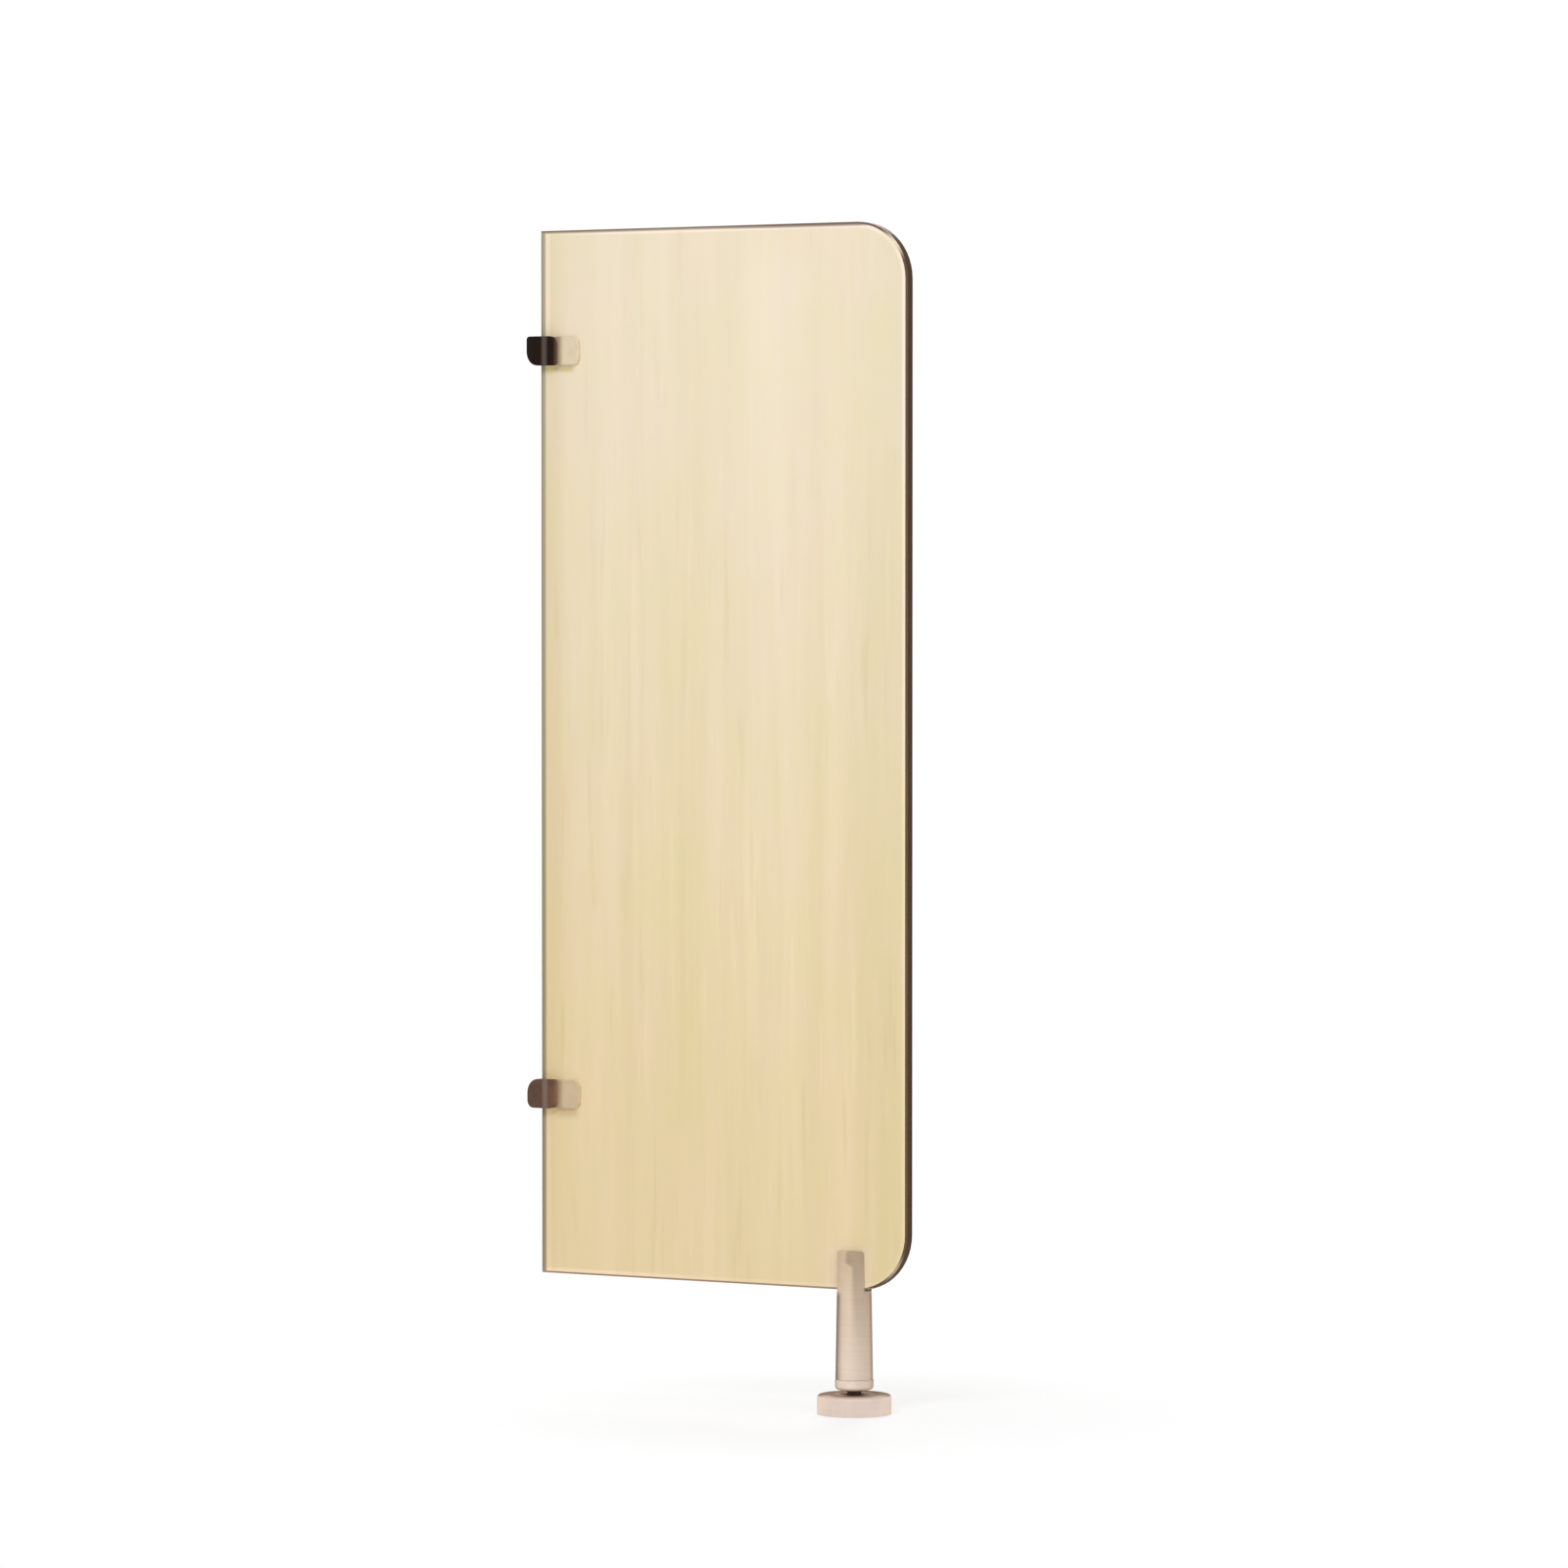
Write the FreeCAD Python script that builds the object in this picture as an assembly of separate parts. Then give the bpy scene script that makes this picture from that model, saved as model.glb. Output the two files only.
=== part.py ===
"""Urinal privacy screen: a compact laminate panel, held off the wall by two clamps and propped
at its free lower corner by an adjustable foot.

Frame, in millimetres: X runs out from the wall along the panel, +Z is up, and Y crosses the
panel, with the front face towards -Y and the rear face towards +Y. X = 0 is the wall, Y = 0 the
middle of the panel's thickness, and Z = 0 is half-way between the two wall screws.
"""

import FreeCAD, Part

import math
import os

Vector = FreeCAD.Vector
X_AXIS = Vector(1, 0, 0)
Y_AXIS = Vector(0, 1, 0)
Z_AXIS = Vector(0, 0, 1)

# Panel: dark phenolic core between two wood-grain decor faces, all edges bevelled.
panel_height = 1000.0
panel_width = 400.0
panel_thickness = 13.0
decor_thickness = 0.5
corner_radius = 54.0
edge_bevel = 2.0
floor_gap = 117.0

# Where the hardware meets the panel.
upper_clamp_drop = 115.0
lower_clamp_rise = 173.0
foot_inset = 59.4

# Wall clamp: a U-shaped body with a crowned front. Its inner corners face the panel's middle
# and its outer corners face away from it. The lower clamp is the upper one's mirror image but
# for its outer corner at the wall, which is rounder.
clamp_height = 28.0
clamp_web = 8.0
clamp_overlap = 22.0
clamp_inner_radius = 14.0
upper_clamp_outer_radius = 3.5
lower_clamp_outer_radius = 7.5
clamp_nose_inner_radius = 3.0
clamp_nose_outer_radius = 8.5
clamp_edge_radius = 1.5
clamp_crown_radius = 45.0
clamp_crown_edge_radius = 0.8
front_cheek = 6.0
rear_cheek = 4.4
wall_hole_diameter = 5.5
wall_sink_diameter = 11.0
wall_hole_offset = 3.0

# Rubber buffer between the clamp's web and the panel's edge.
buffer_thickness = 3.5
buffer_inset = 3.0
buffer_window_diameter = 8.0

# Jaw plates and their rubber pads, one of each on either face of the panel.
plate_thickness = 3.0
plate_reach = 45.0
plate_setback = 2.0
plate_side_inset = 0.4
plate_root_radius = 1.5
plate_end_radius = 8.0
plate_edge_radius = 1.2
pad_thickness = 1.0
pad_inset = 0.3
jaw_travel = 1.5
spigot_diameter = 5.0
spigot_length = 2.0

# Grub screws, M6, two at the rear of each clamp.
grub_diameter = 6.0
grub_spacing = 13.0
grub_from_panel_edge = 10.0
grub_recess = 0.5
grub_tip_diameter = 4.0
grub_dimple_depth = 0.5
grub_socket_across = 3.0
grub_socket_depth = 3.0

# Foot column: a tapered casting, slotted at its top for the panel and bored from below.
column_top_diameter = 31.4
column_bottom_diameter = 35.4
column_grip = 37.0
column_top_radius = 2.5
column_joint_bevel = 0.6
column_bore_diameter = 24.0
column_slot_floor = 9.0
liner_thickness = 0.5
liner_side_inset = 1.4
liner_top_inset = 1.5

# Countersunk screws, M5, that hold the panel in the column's slot from the rear.
fixing_diameter = 5.0
fixing_head_diameter = 9.0
fixing_head_rim = 0.6
fixing_depth_in_panel = 8.0
fixing_rises = (11.0, 26.0)
fixing_seat_wall = 3.2
fixing_socket_across = 3.0
fixing_socket_depth = 2.0

# Collar plugged into the column, with the threaded insert in its plug.
collar_diameter = 36.4
collar_height = 10.0
collar_bottom_radius = 4.0
plug_length = 21.0
insert_wall = 2.0
insert_length = 18.0
insert_inset = 1.0
insert_groove_width = 2.0
insert_groove_depth = 0.4
insert_groove_count = 2

# Levelling stud, M8, with its spring washer and lock nut.
stud_diameter = 8.0
stud_spare_length = 4.0
stud_groove_depth = 1.0
stud_flat_depth = 1.0
stud_flat_height = 3.0
stud_end_bevel = 1.0
foot_travel = 20.0
washer_wall = 3.2
washer_thickness = 2.0
washer_split = 1.2
washer_split_angle = 60.0
nut_wall = 2.5
nut_height = 4.0
nut_corner_bevel = 0.7

# Floor flange, under a loose cover that a rubber ring holds.
flange_rim_gap = 0.8
flange_thickness = 4.0
flange_boss_wall = 6.0
flange_boss_height = 6.0
flange_socket_floor = 2.0
floor_pad_thickness = 1.5
floor_pad_inset = 1.5
floor_hole_margin = 5.2
floor_hole_diameter = 5.2
floor_sink_diameter = 10.0
floor_hole_count = 3
keeper_diameter = 4.0
keeper_socket_across = 2.0
keeper_socket_depth = 1.6
cover_diameter = 70.0
cover_height = 18.0
cover_wall = 2.0
cover_top_wall = 2.5
cover_top_radius = 3.0
cover_rim_gap = 0.5
cover_gap = 4.5
ring_section = 2.0

# Clearances between pieces.
thread_clearance = 0.05
running_clearance = 0.1
seat_clearance = 0.05
jaw_stop_clearance = 0.1
nut_to_cover_clearance = 0.8

# How far a cutting tool runs past the surface it opens.
through = 1.0

# Places that follow from the sizes above.
clamp_spacing = panel_height - upper_clamp_drop - lower_clamp_rise
upper_clamp_z = clamp_spacing / 2
lower_clamp_z = -clamp_spacing / 2
upper_hole_z = upper_clamp_z + wall_hole_offset
lower_hole_z = lower_clamp_z - wall_hole_offset
panel_bottom_z = lower_clamp_z - lower_clamp_rise
panel_top_z = panel_bottom_z + panel_height
floor_z = panel_bottom_z - floor_gap
wall_gap = clamp_web + buffer_thickness
panel_free_x = wall_gap + panel_width
half_panel = panel_thickness / 2
foot_x = panel_free_x - foot_inset

jaw_plate_y = half_panel + pad_thickness + plate_thickness
front_cheek_y = -(jaw_plate_y + front_cheek)
rear_mouth_y = jaw_plate_y + jaw_travel + jaw_stop_clearance
rear_cheek_y = rear_mouth_y + rear_cheek
clamp_nose_x = wall_gap + clamp_overlap
grub_x = wall_gap + grub_from_panel_edge
grub_offsets = {"low": -grub_spacing / 2, "high": grub_spacing / 2}

slot_width = panel_thickness + 2 * liner_thickness
slot_bottom_z = panel_bottom_z - liner_thickness
slot_chord = math.sqrt(column_top_diameter**2 - slot_width**2)
column_top_z = panel_bottom_z + column_grip
cover_bottom_z = floor_z + cover_rim_gap
cover_top_z = cover_bottom_z + cover_height
collar_bottom_z = cover_top_z + cover_gap
column_bottom_z = collar_bottom_z + collar_height
insert_diameter = stud_diameter + 2 * insert_wall
insert_bottom_z = column_bottom_z + insert_inset

washer_bottom_z = collar_bottom_z - washer_thickness
nut_bottom_z = washer_bottom_z - nut_height
nut_across_flats = stud_diameter + 2 * nut_wall
nut_across_corners = nut_across_flats * 2 / math.sqrt(3)

flange_diameter = cover_diameter - 2 * cover_wall - 2 * flange_rim_gap
floor_screw_circle = flange_diameter - floor_sink_diameter - 2 * floor_hole_margin
flange_bottom_z = floor_z + floor_pad_thickness
flange_top_z = flange_bottom_z + flange_thickness
boss_top_z = flange_top_z + flange_boss_height
boss_diameter = stud_diameter + 2 * flange_boss_wall
socket_bottom_z = flange_bottom_z + flange_socket_floor
stud_top_z = insert_bottom_z + insert_length + foot_travel + stud_spare_length
stud_groove_diameter = stud_diameter - 2 * stud_groove_depth
stud_groove_width = keeper_diameter + 2 * running_clearance
keeper_z = (flange_top_z + boss_top_z) / 2
ring_centre_radius = cover_diameter / 2 - cover_wall - seat_clearance - ring_section / 2
ring_z = flange_bottom_z + flange_thickness / 2


def box(x0, x1, y0, y1, z0, z1):
    """A box between two corners."""
    return Part.makeBox(x1 - x0, y1 - y0, z1 - z0, Vector(x0, y0, z0))


def rod(diameter, start, direction, length):
    """A plain round bar."""
    return Part.makeCylinder(diameter / 2, length, start, direction)


def foot_rod(diameter, bottom_z, top_z):
    """An upright round bar on the foot's axis."""
    return rod(diameter, Vector(foot_x, 0, bottom_z), Z_AXIS, top_z - bottom_z)


def foot_tube(outer_diameter, inner_diameter, bottom_z, top_z):
    """An upright tube on the foot's axis, used to cut grooves round a bar."""
    return foot_rod(outer_diameter, bottom_z, top_z).cut(foot_rod(inner_diameter, bottom_z, top_z))


def countersink(hole_diameter, sink_diameter, mouth, inward):
    """The 90 degree cone that seats a countersunk head, widest at its mouth."""
    depth = (sink_diameter - hole_diameter) / 2
    return Part.makeCone(sink_diameter / 2, hole_diameter / 2, depth, mouth, inward)


def hexagon_bar(across_flats, start, direction, length):
    """A six-sided bar, for nuts and sockets."""
    hint = X_AXIS if abs(direction.dot(Y_AXIS)) > 0.9 else Y_AXIS
    across = direction.cross(hint).normalize()
    upward = direction.cross(across).normalize()
    to_corner = across_flats / math.sqrt(3)
    corners = []
    for step in range(7):
        angle = math.radians(60 * step)
        corners.append(start + (across * math.cos(angle) + upward * math.sin(angle)) * to_corner)
    return Part.Face(Part.makePolygon(corners)).extrude(direction * length)


def rounded_plate(x0, x1, y0, y1, z0, z1, radii):
    """An upright plate across Y, with radii for its corners in turn from (x0, z0) by (x1, z0)."""
    ways_in = [(1, 1), (-1, 1), (-1, -1), (1, -1)]
    places = [(x0, z0), (x1, z0), (x1, z1), (x0, z1)]
    near = 1 - math.sqrt(0.5)
    edges = []
    ends = []
    for index, ((x, z), (in_x, in_z), radius) in enumerate(zip(places, ways_in, radii)):
        on_side = Vector(x, y0, z + in_z * radius)
        on_level = Vector(x + in_x * radius, y0, z)
        middle = Vector(x + in_x * radius * near, y0, z + in_z * radius * near)
        start, end = (on_side, on_level) if index % 2 == 0 else (on_level, on_side)
        edges.append(Part.Arc(start, middle, end).toShape())
        ends.append((start, end))
    for index in range(4):
        edges.append(Part.makeLine(ends[index][1], ends[(index + 1) % 4][0]))
    outline = Part.Wire(Part.sortEdges(edges)[0])
    return Part.Face(outline).extrude(Y_AXIS * (y1 - y0))


def flat_edges(shape, axis, place):
    """The edges that lie wholly in the plane at that place along an axis."""
    found = []
    for edge in shape.Edges:
        extent = edge.BoundBox
        low, high = {
            "y": (extent.YMin, extent.YMax),
            "z": (extent.ZMin, extent.ZMax),
        }[axis]
        if abs(low - place) < 1e-3 and abs(high - place) < 1e-3:
            found.append(edge)
    return found


# ---------------------------------------------------------------- panel


def bevelled_panel():
    """The whole panel: square corners at the wall, round ones at the free edge."""
    near = corner_radius * (1 - math.sqrt(0.5))
    front = -half_panel
    low_start = Vector(panel_free_x - corner_radius, front, panel_bottom_z)
    low_middle = Vector(panel_free_x - near, front, panel_bottom_z + near)
    low_end = Vector(panel_free_x, front, panel_bottom_z + corner_radius)
    high_start = Vector(panel_free_x, front, panel_top_z - corner_radius)
    high_middle = Vector(panel_free_x - near, front, panel_top_z - near)
    high_end = Vector(panel_free_x - corner_radius, front, panel_top_z)
    wall_high = Vector(wall_gap, front, panel_top_z)
    wall_low = Vector(wall_gap, front, panel_bottom_z)
    outline = Part.Wire(
        [
            Part.makeLine(wall_low, low_start),
            Part.Arc(low_start, low_middle, low_end).toShape(),
            Part.makeLine(low_end, high_start),
            Part.Arc(high_start, high_middle, high_end).toShape(),
            Part.makeLine(high_end, wall_high),
            Part.makeLine(wall_high, wall_low),
        ]
    )
    slab = Part.Face(outline).extrude(Y_AXIS * panel_thickness)
    rims = flat_edges(slab, "y", -half_panel) + flat_edges(slab, "y", half_panel)
    return slab.makeChamfer(edge_bevel, rims)


def panel_layer(y0, y1):
    """A slab that picks out the panel between two depths."""
    x0, x1 = wall_gap - through, panel_free_x + through
    return box(x0, x1, y0, y1, panel_bottom_z - through, panel_top_z + through)


def fixing_bores_in_panel():
    """The blind holes in the rear face that the foot's fixing screws bite into."""
    bore_diameter = fixing_diameter + 2 * thread_clearance
    bores = []
    for rise in fixing_rises:
        mouth = Vector(foot_x, half_panel + through, panel_bottom_z + rise)
        bores.append(rod(bore_diameter, mouth, -Y_AXIS, fixing_depth_in_panel + through))
    return Part.makeCompound(bores)


def panel_pieces():
    """The core and the two decor faces bonded to it."""
    panel = bevelled_panel().cut(fixing_bores_in_panel())
    decor_y = half_panel - decor_thickness
    return {
        "panel_core": panel.common(panel_layer(-decor_y, decor_y)),
        "front_decor": panel.common(panel_layer(-half_panel, -decor_y)),
        "rear_decor": panel.common(panel_layer(decor_y, half_panel)),
    }


# ---------------------------------------------------------------- wall clamps


def crown_rim(block):
    """The edges round the clamp's crowned front."""
    for face in block.Faces:
        surface = face.Surface
        if isinstance(surface, Part.Cylinder) and abs(surface.Radius - clamp_crown_radius) < 1e-6:
            return face.Edges
    raise RuntimeError("the clamp has no crowned front")


def clamp_block(z, radii):
    """The clamp's solid outline, crowned at the front, before its mouth is cut."""
    z0, z1 = z - clamp_height / 2, z + clamp_height / 2
    block = rounded_plate(0, clamp_nose_x, front_cheek_y, rear_cheek_y, z0, z1, radii)
    block = block.makeFillet(clamp_edge_radius, flat_edges(block, "y", rear_cheek_y))
    crown_centre = Vector(clamp_nose_x / 2, front_cheek_y + clamp_crown_radius, z0 - through)
    crown = rod(2 * clamp_crown_radius, crown_centre, Z_AXIS, clamp_height + 2 * through)
    block = block.common(crown)
    return block.makeFillet(clamp_crown_edge_radius, crown_rim(block))


def clamp_body(z, hole_z, radii):
    """The U-shaped body. Its web stands on the wall and its cheeks straddle the panel's edge."""
    z0, z1 = z - clamp_height / 2 - through, z + clamp_height / 2 + through
    tools = [
        box(clamp_web, clamp_nose_x + through, -jaw_plate_y, rear_mouth_y, z0, z1),
        rod(wall_hole_diameter, Vector(-through, 0, hole_z), X_AXIS, clamp_web + 2 * through),
        countersink(wall_hole_diameter, wall_sink_diameter, Vector(clamp_web, 0, hole_z), -X_AXIS),
    ]
    thread_diameter = grub_diameter + 2 * thread_clearance
    seat_diameter = spigot_diameter + 2 * running_clearance
    for offset in grub_offsets.values():
        rear = Vector(grub_x, rear_mouth_y - through, z + offset)
        tools.append(rod(thread_diameter, rear, Y_AXIS, rear_cheek + 2 * through))
        seat = Vector(grub_x, -jaw_plate_y, z + offset)
        tools.append(rod(seat_diameter, seat, -Y_AXIS, spigot_length + running_clearance))
    return clamp_block(z, radii).cut(Part.makeCompound(tools))


def edge_buffer(z, hole_z):
    """The rubber block between the web and the panel's edge, with a window for a screwdriver."""
    half_width = half_panel + pad_thickness - running_clearance
    z0, z1 = z - clamp_height / 2 + buffer_inset, z + clamp_height / 2 - buffer_inset
    block = box(clamp_web, wall_gap, -half_width, half_width, z0, z1)
    window_start = Vector(clamp_web - through, 0, hole_z)
    return block.cut(rod(buffer_window_diameter, window_start, X_AXIS, buffer_thickness + 2 * through))


def jaw_plate(z, inner_y, outer_y):
    """A flat jaw that spreads the grip along the panel, with its outer rim softened."""
    half_height = clamp_height / 2 - plate_side_inset
    radii = (plate_root_radius, plate_end_radius, plate_end_radius, plate_root_radius)
    x0, x1 = wall_gap + plate_setback, wall_gap + plate_reach
    y0, y1 = sorted((inner_y, outer_y))
    plate = rounded_plate(x0, x1, y0, y1, z - half_height, z + half_height, radii)
    return plate.makeFillet(plate_edge_radius, flat_edges(plate, "y", outer_y))


def front_jaw_plate(z):
    """The fixed jaw, located in the front cheek by two spigots."""
    plate = jaw_plate(z, plate_thickness - jaw_plate_y, -jaw_plate_y)
    for offset in grub_offsets.values():
        base = Vector(grub_x, -jaw_plate_y, z + offset)
        plate = plate.fuse(rod(spigot_diameter, base, -Y_AXIS, spigot_length))
    return plate


def rear_jaw_plate(z):
    """The moving jaw, with a dimple for the tip of each grub screw."""
    plate = jaw_plate(z, jaw_plate_y - plate_thickness, jaw_plate_y)
    dimple_diameter = grub_tip_diameter + 2 * running_clearance
    for offset in grub_offsets.values():
        bottom = Vector(grub_x, jaw_plate_y - grub_dimple_depth, z + offset)
        plate = plate.cut(rod(dimple_diameter, bottom, Y_AXIS, grub_dimple_depth + through))
    return plate


def jaw_pad(z, y0, y1):
    """The rubber pad between a jaw plate and the panel."""
    half_height = clamp_height / 2 - plate_side_inset - pad_inset
    end_radius = plate_end_radius - pad_inset
    radii = (plate_root_radius, end_radius, end_radius, plate_root_radius)
    x0, x1 = wall_gap + edge_bevel, wall_gap + plate_reach - pad_inset
    return rounded_plate(x0, x1, y0, y1, z - half_height, z + half_height, radii)


def grub_screw(z):
    """A socket set screw whose tip sits in the moving jaw's dimple."""
    tip_y = jaw_plate_y - grub_dimple_depth
    shank_y = jaw_plate_y + (grub_diameter - grub_tip_diameter) / 2
    head_y = rear_cheek_y - grub_recess
    tip = rod(grub_tip_diameter, Vector(grub_x, tip_y, z), Y_AXIS, grub_dimple_depth)
    cone_start = Vector(grub_x, jaw_plate_y, z)
    cone_length = shank_y - jaw_plate_y
    cone = Part.makeCone(grub_tip_diameter / 2, grub_diameter / 2, cone_length, cone_start, Y_AXIS)
    shank = rod(grub_diameter, Vector(grub_x, shank_y, z), Y_AXIS, head_y - shank_y)
    socket_start = Vector(grub_x, head_y - grub_socket_depth, z)
    socket = hexagon_bar(grub_socket_across, socket_start, Y_AXIS, grub_socket_depth + through)
    return tip.fuse([cone, shank]).cut(socket)


def clamp_pieces(prefix, z, hole_z, radii):
    """Every piece of one wall clamp."""
    pieces = {
        prefix + "_clamp_body": clamp_body(z, hole_z, radii),
        prefix + "_edge_buffer": edge_buffer(z, hole_z),
        prefix + "_front_jaw_plate": front_jaw_plate(z),
        prefix + "_front_jaw_pad": jaw_pad(z, -half_panel - pad_thickness, -half_panel),
        prefix + "_rear_jaw_plate": rear_jaw_plate(z),
        prefix + "_rear_jaw_pad": jaw_pad(z, half_panel, half_panel + pad_thickness),
    }
    for place, offset in grub_offsets.items():
        pieces[prefix + "_grub_screw_" + place] = grub_screw(z + offset)
    return pieces


# ---------------------------------------------------------------- foot


def column_radius_at(z):
    """The tapered column's outer radius at a height."""
    share = (z - column_bottom_z) / (column_top_z - column_bottom_z)
    return (column_bottom_diameter + (column_top_diameter - column_bottom_diameter) * share) / 2


def fixing_seat_y(z):
    """Where a fixing screw's head starts its rim: on the rear jaw, sunk below its round outside."""
    deepest = slot_width / 2 + fixing_seat_wall
    return min(deepest, column_radius_at(z) - 2 * fixing_head_rim)


def foot_column():
    """The slotted casting. The panel stands in the slot, between a front and a rear jaw."""
    centre = Vector(foot_x, 0, column_bottom_z)
    height = column_top_z - column_bottom_z
    column = Part.makeCone(column_bottom_diameter / 2, column_top_diameter / 2, height, centre, Z_AXIS)
    column = column.makeFillet(column_top_radius, flat_edges(column, "z", column_top_z))
    column = column.makeChamfer(column_joint_bevel, flat_edges(column, "z", column_bottom_z))
    reach = column_bottom_diameter
    half_slot = slot_width / 2
    x0, x1 = foot_x - reach, foot_x + reach
    tools = [
        box(x0, x1, -half_slot, half_slot, slot_bottom_z, column_top_z + through),
        foot_rod(column_bore_diameter, column_bottom_z - through, slot_bottom_z - column_slot_floor),
    ]
    hole_diameter = fixing_diameter + 2 * running_clearance
    sink_diameter = fixing_head_diameter + 2 * running_clearance
    for rise in fixing_rises:
        z = panel_bottom_z + rise
        seat = Vector(foot_x, fixing_seat_y(z), z)
        tools.append(rod(hole_diameter, Vector(foot_x, 0, z), Y_AXIS, reach))
        tools.append(countersink(hole_diameter, sink_diameter, seat, -Y_AXIS))
        tools.append(rod(sink_diameter, seat, Y_AXIS, reach))
    return column.cut(Part.makeCompound(tools))


def slot_liner():
    """The U-shaped rubber strip between the slot and the panel."""
    top_z = column_top_z - liner_top_inset
    half_slot = slot_width / 2
    x0, x1 = foot_x - slot_chord / 2 + liner_side_inset, foot_x + slot_chord / 2 - liner_side_inset
    outer = box(x0, x1, -half_slot, half_slot, slot_bottom_z, top_z)
    inner = box(x0 - through, x1 + through, -half_panel, half_panel, panel_bottom_z, top_z + through)
    hole_diameter = fixing_diameter + 2 * running_clearance
    tools = [inner]
    for rise in fixing_rises:
        start = Vector(foot_x, 0, panel_bottom_z + rise)
        tools.append(rod(hole_diameter, start, Y_AXIS, slot_width))
    return outer.cut(Part.makeCompound(tools))


def fixing_screw(z):
    """A countersunk screw through the rear jaw into the panel."""
    seat_y = fixing_seat_y(z)
    cone_y = seat_y - (fixing_head_diameter - fixing_diameter) / 2
    head_y = seat_y + fixing_head_rim
    tip_y = half_panel - fixing_depth_in_panel + seat_clearance
    shank = rod(fixing_diameter, Vector(foot_x, tip_y, z), Y_AXIS, cone_y - tip_y)
    cone = countersink(fixing_diameter, fixing_head_diameter, Vector(foot_x, seat_y, z), -Y_AXIS)
    rim = rod(fixing_head_diameter, Vector(foot_x, seat_y, z), Y_AXIS, fixing_head_rim)
    socket_start = Vector(foot_x, head_y - fixing_socket_depth, z)
    socket = hexagon_bar(fixing_socket_across, socket_start, Y_AXIS, fixing_socket_depth + through)
    return shank.fuse([cone, rim]).cut(socket)


def foot_fixing_screws():
    """The identical fixing screws."""
    return Part.makeCompound([fixing_screw(panel_bottom_z + rise) for rise in fixing_rises])


def column_collar():
    """The collar under the column, with the plug that holds it in the bore."""
    collar = foot_rod(collar_diameter, collar_bottom_z, column_bottom_z)
    collar = collar.makeFillet(collar_bottom_radius, flat_edges(collar, "z", collar_bottom_z))
    collar = collar.makeChamfer(column_joint_bevel, flat_edges(collar, "z", column_bottom_z))
    plug_top_z = column_bottom_z + plug_length
    plug = foot_rod(column_bore_diameter - 2 * seat_clearance, column_bottom_z, plug_top_z)
    stud_hole_diameter = stud_diameter + 2 * running_clearance
    pocket_diameter = insert_diameter + 2 * seat_clearance
    tools = [
        foot_rod(stud_hole_diameter, collar_bottom_z - through, plug_top_z + through),
        foot_rod(pocket_diameter, insert_bottom_z, plug_top_z + through),
    ]
    return collar.fuse(plug).cut(Part.makeCompound(tools))


def threaded_insert():
    """The brass bush that carries the stud's thread, grooved so that the plug grips it."""
    top_z = insert_bottom_z + insert_length
    bush = foot_rod(insert_diameter, insert_bottom_z, top_z)
    thread_diameter = stud_diameter + 2 * thread_clearance
    tools = [foot_rod(thread_diameter, insert_bottom_z - through, top_z + through)]
    waist_diameter = insert_diameter - 2 * insert_groove_depth
    for number in range(1, insert_groove_count + 1):
        middle_z = insert_bottom_z + insert_length * number / (insert_groove_count + 1)
        z0, z1 = middle_z - insert_groove_width / 2, middle_z + insert_groove_width / 2
        tools.append(foot_tube(insert_diameter + through, waist_diameter, z0, z1))
    return bush.cut(Part.makeCompound(tools))


def levelling_stud():
    """The stud that turns in the flange's socket and screws into the insert."""
    stud = foot_rod(stud_diameter, socket_bottom_z, stud_top_z)
    stud = stud.makeChamfer(stud_end_bevel, flat_edges(stud, "z", stud_top_z))
    groove_z0, groove_z1 = keeper_z - stud_groove_width / 2, keeper_z + stud_groove_width / 2
    tools = [foot_tube(stud_diameter + through, stud_groove_diameter, groove_z0, groove_z1)]
    flat_x = stud_diameter / 2 - stud_flat_depth
    flat_top_z = boss_top_z + stud_flat_height
    for x0, x1 in ((flat_x, stud_diameter), (-stud_diameter, -flat_x)):
        tools.append(
            box(foot_x + x0, foot_x + x1, -stud_diameter, stud_diameter, boss_top_z, flat_top_z)
        )
    return stud.cut(Part.makeCompound(tools))


def lock_washer():
    """The spring washer between the lock nut and the collar, with its split."""
    hole_diameter = stud_diameter + 4 * running_clearance
    outer_diameter = stud_diameter + 2 * washer_wall
    ring = foot_tube(outer_diameter, hole_diameter, washer_bottom_z, collar_bottom_z)
    half_split = washer_split / 2
    z0, z1 = washer_bottom_z - through, collar_bottom_z + through
    split = box(foot_x, foot_x + outer_diameter, -half_split, half_split, z0, z1)
    split.rotate(Vector(foot_x, 0, 0), Z_AXIS, washer_split_angle)
    return ring.cut(split)


def lock_nut():
    """The thin nut that jams the stud against the collar."""
    hexagon = hexagon_bar(nut_across_flats, Vector(foot_x, 0, nut_bottom_z), Z_AXIS, nut_height)
    crown = foot_rod(nut_across_corners, nut_bottom_z, washer_bottom_z)
    rims = flat_edges(crown, "z", nut_bottom_z) + flat_edges(crown, "z", washer_bottom_z)
    crown = crown.makeChamfer(nut_corner_bevel, rims)
    thread_diameter = stud_diameter + 2 * thread_clearance
    hole = foot_rod(thread_diameter, nut_bottom_z - through, washer_bottom_z + through)
    return hexagon.common(crown).cut(hole)


def floor_hole_centres(z):
    """The floor screws' places on their circle."""
    radius = floor_screw_circle / 2
    centres = []
    for index in range(floor_hole_count):
        angle = math.radians(90 + 360 / floor_hole_count * index)
        centres.append(Vector(foot_x + radius * math.cos(angle), radius * math.sin(angle), z))
    return centres


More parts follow.
